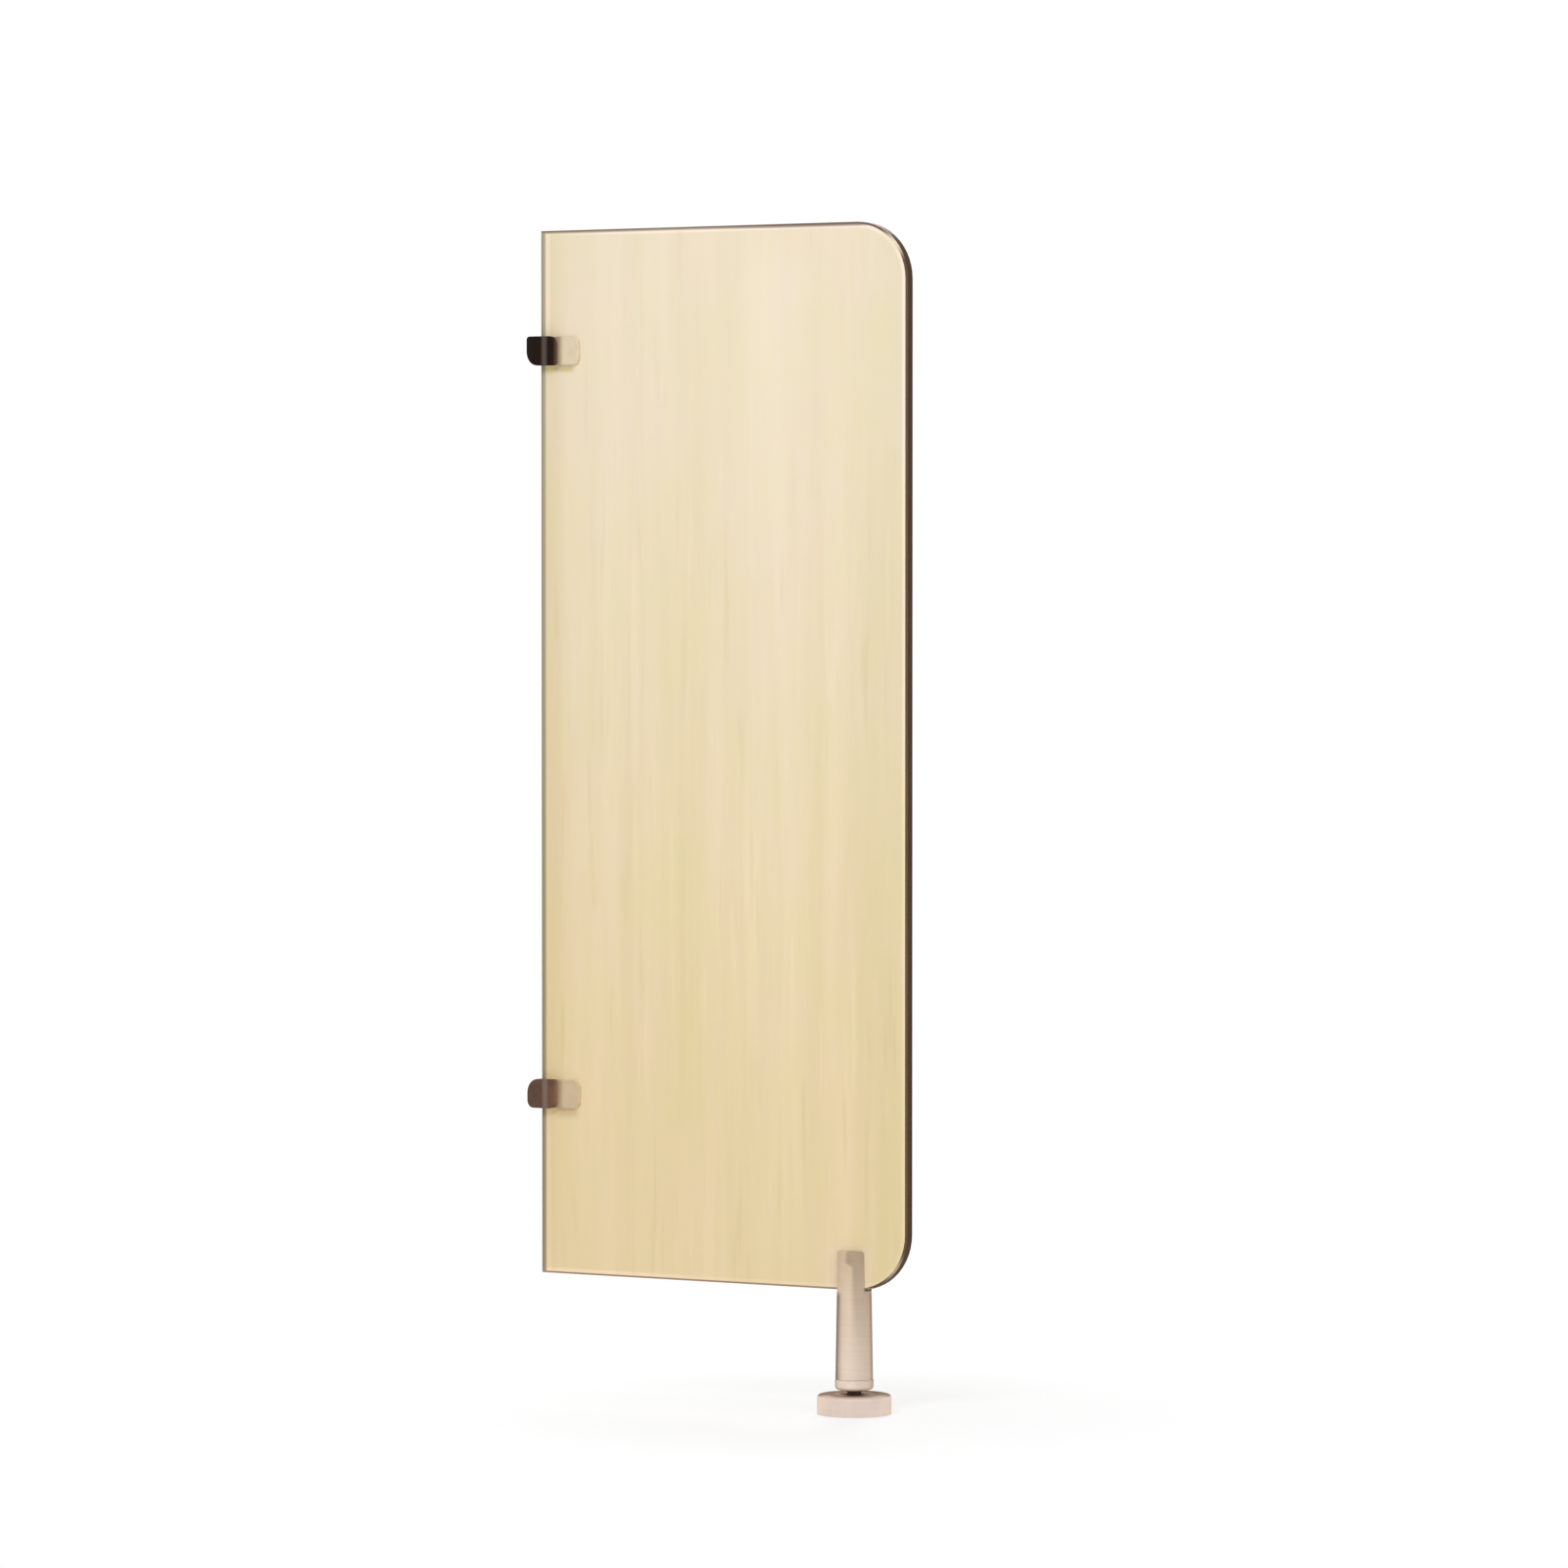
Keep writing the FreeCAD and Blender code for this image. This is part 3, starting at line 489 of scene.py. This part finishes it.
def clamp_enamel(name, colour, highlight, nose_light, front_share):
    """Glossy dark enamel on a casting, with paler worn edges, painted light browning it towards its
    nose and lifting its nose end, and a painted highlight in a strip down its front.
    """
    s = Shader(name)
    strip_x = panel_low.x + 10.2 * MM
    flow = s.noise((0.006, 0.006, 0.010), seed=3.0, detail=3.0)
    shade = s.mottle(colour, flow, (0.90, 0.88, 0.88), (1.10, 1.08, 1.06))
    # Painted light: the casting turns browner towards its nose.
    lit_towards_nose = s.spread(s.x, strip_x, strip_x + 12 * MM)
    shade = s.touch(shade, lit_towards_nose, (1.32, 1.22, 0.98))
    # Painted highlight in a strip down the clamp's front.
    from_strip = s.apart(s.x, strip_x)
    on_strip = s.spread(from_strip, 0.9 * MM, 4.2 * MM, 1.0, 0.0)
    on_front = s.spread(s.y, -half_panel - 2 * MM, -half_panel - 5 * MM)
    shade = s.mix(s.times(on_strip, on_front), shade, highlight)
    # Painted light at the nose's end, less of it on the front.
    towards_end = s.spread(s.x, clamp_nose_x - 3.4 * MM, clamp_nose_x)
    depth = s.math("ABSOLUTE", s.y)
    painted_light_share = s.times(towards_end, s.spread(depth, 10.5 * MM, 13.5 * MM, 1.0, front_share))
    shade = s.mix(painted_light_share, shade, nose_light)
    paler_band = s.times(s.edge(0.5 * MM), s.spread(flow, 0.45, 0.6))
    shade = s.mix(s.times(paler_band, 0.25), shade, highlight)
    peel = s.noise((0.0009, 0.0009, 0.0009), seed=4.0, detail=1.0)
    return s.principled(
        Base_Color=shade,
        Roughness=s.varied(flow, 0.34, 0.46),
        Specular_IOR_Level=0.05,
        Normal=s.bump(peel, 0.01 * MM, 0.5),
    )


def jaw_enamel(name, colour, low_z, edge, nose_shade):
    """Beige satin enamel on a pressed plate, with painted shade where it comes out from under the
    nose.

    Its thin edge has a tint of painted light of its own, and is palest along the bottom.
    """
    bottom_edge_light = (1.47, 1.46, 1.43)
    s = Shader(name)
    clouds = s.noise((0.010, 0.004, 0.010), seed=7.0, detail=3.0)
    shade = s.mottle(colour, clouds, (0.97, 0.96, 0.95), (1.02, 1.02, 1.02))
    outer_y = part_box("upper_rear_jaw_plate")[1].y
    from_face = s.math("SUBTRACT", outer_y, s.math("ABSOLUTE", s.y))
    on_edge = s.spread(from_face, 0.3 * MM, 0.9 * MM)
    below = s.spread(s.z, low_z + 4 * MM, low_z + 1 * MM)
    edge_light = s.mix(below, (*edge, 1.0), (*bottom_edge_light, 1.0))
    shade = s.mix(on_edge, shade, s.mix(1.0, shade, edge_light, "MULTIPLY"))
    # Painted shade where the plate comes out from under the nose.
    shade_from_nose = s.spread(s.x, clamp_nose_x, clamp_nose_x + 7.2 * MM, 1.0, 0.0)
    shade = s.touch(shade, shade_from_nose, nose_shade)
    speckle = s.noise((0.0007, 0.0007, 0.0007), seed=8.0, detail=2.0)
    return s.principled(
        Base_Color=shade,
        Roughness=s.varied(clouds, 0.42, 0.52),
        Specular_IOR_Level=0.3,
        Normal=s.bump(speckle, 0.012 * MM, 0.5),
    )


def from_foot_axis(shader):
    """How far a place is from the foot's upright axis."""
    across = shader.math("SUBTRACT", shader.x, foot_axis.x)
    return shader.length(across, shader.y)


def towards(shader, azimuth):
    """1 on the side of the foot that faces a bearing, 0 a quarter turn from it and -1 behind."""
    least_radius = 1 * MM
    across = shader.math("SUBTRACT", shader.x, foot_axis.x)
    radius = shader.math("MAXIMUM", from_foot_axis(shader), least_radius)
    turn = math.radians(azimuth)
    along = shader.times(across, math.sin(turn))
    reach = shader.math("MULTIPLY_ADD", shader.y, -math.cos(turn), along)
    return shader.math("DIVIDE", reach, radius)


def turned_finish(s, shade, seed, gloss):
    """The satin coat on turned metal: soft clouds, and fine rings round the foot's axis."""
    clouds = s.noise((0.016, 0.016, 0.040), seed=seed, detail=3.0)
    shade = s.mottle(shade, clouds, (0.97, 0.955, 0.945), (1.02, 1.02, 1.02))
    rings = s.noise((0.080, 0.080, 0.0016), seed=seed + 1, detail=3.0)
    shade = s.tint(shade, s.spread(rings, 0.3, 0.7), (0.975, 0.970, 0.965), (1.015, 1.015, 1.015))
    shade = s.mix(s.times(s.edge(0.5 * MM), 0.1), shade, RUBBED_COAT)
    return s.principled(
        Base_Color=shade,
        Roughness=s.varied(clouds, 0.40, 0.52),
        Specular_IOR_Level=gloss,
        Normal=s.bump(rings, 0.02 * MM, 0.4),
    )


def painted_brink_shade(s, shade, side, share, brink):
    """Painted shade: deepens a round piece's colour on the two sides that a bearing leaves edge-on.
    """
    out = s.spread(s.math("ABSOLUTE", side), 0.80, 1.0)
    return s.touch(shade, s.times(out, share), brink)


def column_satin():
    """The post's satin coat, with painted light and shade: pale on its lit side, tan on its shaded
    and reflecting side, and duller towards its top.

    The border between the two runs straight down the post, and over the jaw it swings back.
    """
    s = Shader("column_satin")
    low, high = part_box("foot_column")
    up = s.spread(s.z, low.z, high.z, way="LINEAR")
    pale = s.mix(s.spread(s.z, low.z + 24 * MM, high.z, way="LINEAR"), COLUMN_PALE, COLUMN_PALE_TOP)
    tan = s.mix(up, COLUMN_TAN, COLUMN_TAN_TOP)
    side = towards(s, TAN_BEARING)

    # The border's place, and half its softness, as shares of the way round from -1 to 1.
    straight = s.spread(s.z, low.z, panel_low.z, 0.07, -0.13, way="LINEAR")
    swing = s.spread(s.z, high.z - 15 * MM, high.z - 10 * MM, 0.0, -0.38)
    border = s.math("ADD", straight, swing)
    softness = s.spread(s.z, low.z, high.z - 12 * MM, 0.42, 0.15)
    before, after = s.math("SUBTRACT", border, softness), s.math("ADD", border, softness)
    shade = s.mix(s.spread(side, before, after), pale, tan)

    # Painted light in a lighter band on the tan side. Painted shade in a rosy and then dark band on
    # the pale side's brink, and on both brinks.
    below_panel = s.spread(s.z, panel_low.z, panel_low.z - 6 * MM)
    lit = s.spread(side, 0.35, 0.70)
    shade = s.touch(shade, lit, (1.07, 1.05, 1.01))
    rosy = s.times(s.spread(side, -0.60, -0.88), below_panel)
    shade = s.touch(shade, rosy, (0.84, 0.74, 0.70))
    turned_away = s.times(s.spread(side, -0.74, -0.97), below_panel)
    shade = s.touch(shade, turned_away, (0.60, 0.60, 0.53))
    shade = painted_brink_shade(s, shade, side, below_panel, (0.44, 0.42, 0.40))
    return turned_finish(s, shade, seed=61.0, gloss=0.3)


def collar_satin():
    """The collar's satin coat, rosier than the post's, with painted light on its pale side and
    along its foot, and painted shade on its tan side and brinks.
    """
    s = Shader("collar_satin")
    side = towards(s, TAN_BEARING)
    shade = s.mix(s.spread(side, -0.20, 0.35), COLLAR_PALE, COLLAR_TAN)
    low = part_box("column_collar")[0]
    # Painted light along the collar's foot, which turns down towards the base.
    at_foot = s.spread(s.z, low.z + 7 * MM, low.z + 3 * MM)
    shade = s.touch(shade, at_foot, (1.08, 1.10, 1.12))
    seam = s.spread(s.z, low.z + 8.6 * MM, low.z + 9.4 * MM)
    shade = s.touch(shade, seam, (0.84, 0.84, 0.84))
    shade = painted_brink_shade(s, shade, side, 1.0, (0.72, 0.68, 0.64))
    return turned_finish(s, shade, seed=63.0, gloss=0.2)


def cover_satin():
    """The base's satin coat: pale on its side and front rim, brown on top, dark before the nut,
    with painted light on its side, its top's middle and its front rim, painted shade in the brown
    top and a painted shadow before the nut.
    """
    s = Shader("cover_satin")
    facing = s.math("MAXIMUM", towards(s, FRONT_BEARING), 0.0)
    # Painted light: the side is lifted where it turns away from the front.
    side = s.tint(COVER_SIDE, s.spread(facing, 0.3, 1.0), (1.26, 1.27, 1.23), (0.97, 0.98, 1.02))
    on_top = s.spread(s.z, cover_high.z - 1.8 * MM, cover_high.z - 0.3 * MM)
    from_axis = from_foot_axis(s)
    outwards = s.spread(from_axis, 14 * MM, 22 * MM)
    # The brown top is painted shade, and its paler middle and front rim are painted light.
    top = s.mix(outwards, COVER_TOP_MIDDLE, COVER_TOP)
    front_rim = s.times(s.spread(from_axis, 20 * MM, 31 * MM), s.spread(facing, 0.1, 0.6))
    top = s.mix(front_rim, top, COVER_TOP_RIM)
    # Painted shadow on the top before the nut.
    shadow_before_nut = s.times(s.spread(from_axis, 25 * MM, 14 * MM), s.spread(facing, 0.6, 0.95))
    top = s.touch(top, shadow_before_nut, (0.28, 0.23, 0.20))
    return turned_finish(s, s.mix(on_top, side, top), seed=65.0, gloss=0.0)


def bare_metal(name, colour, roughness, seed, metal=1.0):
    """Machined metal with fine tool marks, brighter where its edges are rubbed."""
    s = Shader(name)
    stains = s.noise((0.004, 0.004, 0.006), seed=seed, detail=4.0)
    shade = s.tint(colour, s.spread(stains, 0.3, 0.7), (0.75, 0.75, 0.75), (1.05, 1.05, 1.05))
    bright = tuple(min(1.0, 1.5 * value + 0.05) for value in colour[:3]) + (1.0,)
    shade = s.mix(s.times(s.edge(0.3 * MM), 0.5), shade, bright)
    marks = s.noise((0.0040, 0.0040, 0.0002), seed=seed + 1, detail=2.0)
    return s.principled(
        Base_Color=shade,
        Metallic=metal,
        Roughness=s.varied(stains, roughness - 0.06, roughness + 0.08),
        Normal=s.bump(marks, 0.01 * MM, 0.4),
    )


def cast_zinc():
    """Bright zinc plate over a sand-cast skin."""
    s = Shader("flange_zinc")
    skin = s.noise((0.0008, 0.0008, 0.0008), seed=31.0, detail=4.0)
    spangle = s.noise((0.005, 0.005, 0.005), seed=32.0, detail=1.0)
    shade = s.mottle(ZINC, spangle, (0.88, 0.89, 0.91), (1.06, 1.06, 1.05))
    return s.principled(
        Base_Color=shade,
        Metallic=0.9,
        Roughness=s.varied(spangle, 0.38, 0.52),
        Normal=s.bump(skin, 0.05 * MM, 0.5),
    )


def moulded_rubber(name, colour, roughness, seed):
    """Matt moulded rubber with a fine pebble and a dusty bloom."""
    s = Shader(name)
    bloom = s.noise((0.008, 0.008, 0.008), seed=seed, detail=4.0)
    shade = s.tint(colour, s.spread(bloom, 0.35, 0.7), (0.92, 0.92, 0.92), (1.12, 1.12, 1.12))
    pebble = s.noise((0.0005, 0.0005, 0.0005), seed=seed + 1, detail=2.0)
    return s.principled(
        Base_Color=shade,
        Roughness=s.varied(bloom, roughness, roughness + 0.12),
        Specular_IOR_Level=0.3,
        Normal=s.bump(pebble, 0.03 * MM, 0.5),
    )


# ---------------------------------------------------------------- turned pieces with real threads

RING_POINTS = 48  # places round a ring
THREAD_STEPS = 10  # rings in one turn of a thread
SHARP_ANGLE = 35  # degrees between faces that meet in a sharp edge


def lathe(name, rings):
    """A closed mesh through rings, each a height and a list of RING_POINTS places across it."""
    vertices = []
    faces = []
    for height, outline in rings:
        vertices += [(u, v, height) for u, v in outline]
    for ring in range(len(rings) - 1):
        for point in range(RING_POINTS):
            following = (point + 1) % RING_POINTS
            low, high = ring * RING_POINTS, (ring + 1) * RING_POINTS
            faces.append((low + point, low + following, high + following, high + point))
    faces.append(tuple(reversed(range(RING_POINTS))))
    last = (len(rings) - 1) * RING_POINTS
    faces.append(tuple(last + point for point in range(RING_POINTS)))
    mesh = bpy.data.meshes.new(name)
    mesh.from_pydata(vertices, [], faces)
    mesh.validate()
    mesh.shade_smooth()
    mesh.set_sharp_from_angle(angle=math.radians(SHARP_ANGLE))
    piece = bpy.data.objects.new(name, mesh)
    bpy.context.scene.collection.objects.link(piece)
    return piece


def angle_of(point):
    """The angle of one of a ring's places."""
    return 2 * math.pi * point / RING_POINTS


def polar(radius, angle):
    """The place at a radius and an angle from a ring's middle."""
    return radius * math.cos(angle), radius * math.sin(angle)


def circle(radius):
    """A ring's places on a circle."""
    return [polar(radius, angle_of(point)) for point in range(RING_POINTS)]


def hexagon(across_flats):
    """A ring's places on a hexagon."""
    places = []
    for point in range(RING_POINTS):
        turn = angle_of(point) % (math.pi / 3) - math.pi / 6
        radius = across_flats / 2 / math.cos(turn)
        places.append(polar(radius, angle_of(point)))
    return places


def thread_ring(height, crest, depth, pitch):
    """A ring across a right-hand thread of 60 degrees, with a flat at its crest and its root."""
    ridge_top, flank_slope = 1.35, 2.9
    places = []
    for point in range(RING_POINTS):
        angle = angle_of(point)
        phase = (height / pitch - angle / (2 * math.pi)) % 1.0
        ridge = min(1.0, max(0.0, ridge_top - flank_slope * abs(phase - 0.5)))
        radius = crest - depth * (1 - ridge)
        places.append(polar(radius, angle))
    return places


def threaded(low, high, crest, depth, pitch, fade):
    """The rings of a thread between two heights, running out over a length at each end."""
    count = round((high - low) / pitch * THREAD_STEPS)
    rings = []
    for step in range(count + 1):
        height = low + (high - low) * step / count
        to_end = min(height - low, high - height)
        share = min(1.0, to_end / fade)
        rings.append((height, thread_ring(height, crest, depth * share, pitch)))
    return rings


def levelling_stud():
    """The M8 stud: keeper groove and spanner flats at its foot, then thread to its tip."""
    radius, pitch, depth, bevel = 3.98 * MM, 1.25 * MM, 0.66 * MM, 1.0 * MM
    groove_low, groove_high = stud_low.z + 2.9 * MM, stud_low.z + 7.1 * MM
    flats_length, half_flats, groove_radius = 3 * MM, 3 * MM, 3 * MM
    flats_low, flats_high = flange_high.z, flange_high.z + flats_length
    flats = [(max(-half_flats, min(half_flats, u)), v) for u, v in circle(radius)]
    step = 0.02 * MM
    rings = [
        (stud_low.z, circle(radius)),
        (groove_low, circle(radius)),
        (groove_low + step, circle(groove_radius)),
        (groove_high - step, circle(groove_radius)),
        (groove_high, circle(radius)),
        (flats_low, circle(radius)),
        (flats_low + step, flats),
        (flats_high - step, flats),
        (flats_high, circle(radius)),
    ]
    thread_low, thread_high = flats_high + 0.5 * MM, stud_high.z - bevel
    rings += threaded(thread_low, thread_high, radius, depth, pitch, fade=1.5 * pitch)
    rings.append((stud_high.z, circle(radius - bevel)))
    piece = lathe("threaded_stud", rings)
    piece.location = foot_axis
    return piece


def grub_screw(node):
    """An M6 socket set screw with a dog point, along +Y, in the place of its CAD node."""
    low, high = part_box(node)
    radius, pitch, depth = 2.98 * MM, 1.0 * MM, 0.54 * MM
    tip_radius, tip_length, cone_length, end_bevel = 2 * MM, 0.5 * MM, 1 * MM, 0.45 * MM
    socket, socket_depth = 3 * MM, 3 * MM
    length = high.y - low.y
    cone_end = tip_length + cone_length
    rings = [(0, circle(tip_radius)), (tip_length, circle(tip_radius))]
    rings += threaded(cone_end, length - end_bevel, radius, depth, pitch, fade=0.8 * pitch)
    rings += [
        (length, circle(radius - end_bevel)),
        (length, hexagon(socket)),
        (length - socket_depth, hexagon(socket)),
    ]
    piece = lathe(node + "_threaded", rings)
    centre_x, centre_z = (low.x + high.x) / 2, (low.z + high.z) / 2
    for vertex in piece.data.vertices:
        across, up, along = vertex.co
        vertex.co = (centre_x + up, low.y + along, centre_z + across)
    return piece


# ---------------------------------------------------------------- dress the frame


def dress(material, *nodes):
    """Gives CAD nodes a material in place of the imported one."""
    for name in nodes:
        for material_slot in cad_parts[name].material_slots:
            material_slot.material = material


def dress_frame():
    """Gives every CAD node its look, and puts threaded screws in the places of the plain ones."""
    dress(wood_decor(), "front_decor", "rear_decor")
    dress(laminate_core(), "panel_core")
    clear = moulded_rubber("rubber_clear", CLEAR_RUBBER, roughness=0.55, seed=41.0)
    black = moulded_rubber("rubber_black", BLACK_RUBBER, roughness=0.6, seed=43.0)
    black_steel = bare_metal("steel_black", BLACK_STEEL, roughness=0.42, seed=51.0, metal=0.6)
    steel = bare_metal("steel_bright", STEEL, roughness=0.3, seed=53.0)
    # Each clamp's look paints the light and reflection that clamp gets. A jaw's edge tint is
    # painted light, and its nose shade is painted shade.
    looks = {
        "upper": (
            dict(colour=CLAMP_UPPER, highlight=HIGHLIGHT_UPPER, nose_light=NOSE_LIGHT_UPPER, front_share=0.26),
            dict(colour=JAW_UPPER, edge=(1.04, 1.04, 1.06), nose_shade=(0.46, 0.42, 0.37)),
        ),
        "lower": (
            dict(colour=CLAMP_LOWER, highlight=HIGHLIGHT_LOWER, nose_light=NOSE_LIGHT_LOWER, front_share=0.15),
            dict(colour=JAW_LOWER, edge=(1.14, 1.16, 1.22), nose_shade=(0.66, 0.62, 0.57)),
        ),
    }
    for side, (body_look, jaw_look) in looks.items():
        enamel = clamp_enamel("bronze_" + side, **body_look)
        jaw_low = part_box(side + "_front_jaw_plate")[0].z
        jaws = jaw_enamel("jaw_" + side, low_z=jaw_low, **jaw_look)
        dress(enamel, side + "_clamp_body")
        dress(jaws, side + "_front_jaw_plate", side + "_rear_jaw_plate")
        dress(clear, side + "_front_jaw_pad", side + "_rear_jaw_pad")
        dress(black, side + "_edge_buffer")
        for place in ("low", "high"):
            node = f"{side}_grub_screw_{place}"
            screw = grub_screw(node)
            screw.data.materials.append(black_steel)
            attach(screw, f"{side}_grub_{place}")
            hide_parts(node)
    dress(column_satin(), "foot_column")
    dress(collar_satin(), "column_collar")
    dress(cover_satin(), "flange_cover")
    dress(clear, "slot_liner")
    dress(steel, "foot_fixing_screws")
    dress(bare_metal("brass", BRASS, roughness=0.28, seed=55.0), "threaded_insert")
    dress(black_steel, "lock_washer", "lock_nut", "stud_keeper")
    dress(cast_zinc(), "floor_flange")
    dress(black, "cover_ring", "floor_pad")
    stud = levelling_stud()
    stud.data.materials.append(steel)
    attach(stud, "stud")
    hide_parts("levelling_stud")


# ---------------------------------------------------------------- studio


def seen_directly(tree):
    """1 for rays from the camera and for mirror and glass rays, and 0 for rays that carry light."""
    path = tree.nodes.new("ShaderNodeLightPath")
    total = path.outputs["Is Camera Ray"]
    for name in ("Is Glossy Ray", "Is Transmission Ray"):
        either = tree.nodes.new("ShaderNodeMath")
        either.operation = "MAXIMUM"
        tree.links.new(total, either.inputs[0])
        tree.links.new(path.outputs[name], either.inputs[1])
        total = either.outputs[0]
    return total


def white_world(light_strength):
    """A white backdrop that lights the object at a plain level."""
    world = bpy.data.worlds.new("studio")
    bpy.context.scene.world = world
    world.use_nodes = True
    tree = world.node_tree
    background = tree.nodes["Background"]
    background.inputs["Color"].default_value = (1, 1, 1, 1)
    level = tree.nodes.new("ShaderNodeMapRange")
    level.inputs["To Min"].default_value = light_strength
    level.inputs["To Max"].default_value = 1.0
    tree.links.new(seen_directly(tree), level.inputs["Value"])
    tree.links.new(level.outputs[0], background.inputs["Strength"])


def pale_floor():
    """A round white floor. Near the foot it takes the shadow, and further out it is plain white.

    It stays under the foot's flange, which moves down when the foot is wound out, and it is clear
    from below, so that the object's underside shows.
    """
    throws_back, takes_shadow = 0.86, 0.95
    middle = (foot_axis.x, 0, floor_z)
    bpy.ops.mesh.primitive_circle_add(vertices=128, radius=4.0, fill_type="NGON", location=middle)
    floor = bpy.context.object
    floor.name = "studio_floor"
    s = Shader("studio_floor")
    lighting = s.node("BsdfDiffuse")
    s.feed(lighting.inputs["Color"], (throws_back, throws_back, throws_back, 1))
    shadowed = s.node("BsdfDiffuse")
    s.feed(shadowed.inputs["Color"], (takes_shadow, takes_shadow, takes_shadow, 1))
    plain = s.node("Emission")
    s.feed(plain.inputs["Color"], (1, 1, 1, 1))
    s.feed(plain.inputs["Strength"], 1.0)
    away = s.node("VectorMath", operation="LENGTH")
    s.feed(away.inputs[0], s.place)
    near, far, most_shadow = 60 * MM, 400 * MM, 0.30
    shadow_share = s.spread(away.outputs["Value"], near, far, most_shadow, 0.0)
    seen = s.blend(shadow_share, plain, shadowed)
    from_above = s.blend(seen_directly(s.tree), lighting, seen)
    below = s.node("NewGeometry").outputs["Backfacing"]
    final = s.blend(below, from_above, s.node("BsdfTransparent"))
    floor.data.materials.append(s.finished(final))
    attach(floor, "floor_foot")


def aimed(thing, location, target):
    """Puts a lamp or a camera at a place and points it at another."""
    thing.location = location
    thing.rotation_euler = (Vector(target) - Vector(location)).to_track_quat("-Z", "Y").to_euler()
    bpy.context.scene.collection.objects.link(thing)


def from_object(target, azimuth, elevation, distance):
    """The place at a bearing from a target: 0 is in front, and a positive one is towards +X."""
    turn, rise = math.radians(azimuth), math.radians(elevation)
    level = math.cos(rise)
    way = Vector((math.sin(turn) * level, -math.cos(turn) * level, math.sin(rise)))
    return Vector(target) + way * distance


def soft_lamp(name, azimuth, elevation, distance, width, height, power):
    """An area lamp at a bearing from the object's middle, which it faces."""
    data = bpy.data.lights.new(name, "AREA")
    data.shape = "RECTANGLE"
    data.size = width
    data.size_y = height
    data.energy = power
    lamp = bpy.data.objects.new(name, data)
    middle = (cad_low + cad_high) / 2
    aimed(lamp, from_object(middle, azimuth, elevation, distance), middle)


def camera():
    """The photograph's view: from the front right, a little above the middle, with a long lens."""
    data = bpy.data.cameras.new("camera")
    data.sensor_width = 36.0
    data.lens = 157.07
    data.clip_end = 50.0
    view = bpy.data.objects.new("camera", data)
    aim = Vector((panel_low.x + 268.5 * MM, face_y, -55.1 * MM))
    aimed(view, from_object(aim, azimuth=29.541, elevation=1.678, distance=6.437), aim)
    bpy.context.scene.camera = view


dress_frame()
white_world(light_strength=0.45)
pale_floor()
soft_lamp("key", azimuth=6, elevation=38, distance=6.0, width=2.0, height=2.0, power=152)
soft_lamp("fill", azimuth=62, elevation=12, distance=3.6, width=1.4, height=2.0, power=26)
soft_lamp("back", azimuth=200, elevation=34, distance=6.0, width=2.0, height=2.0, power=120)
camera()
bpy.context.scene.view_settings.view_transform = "Standard"
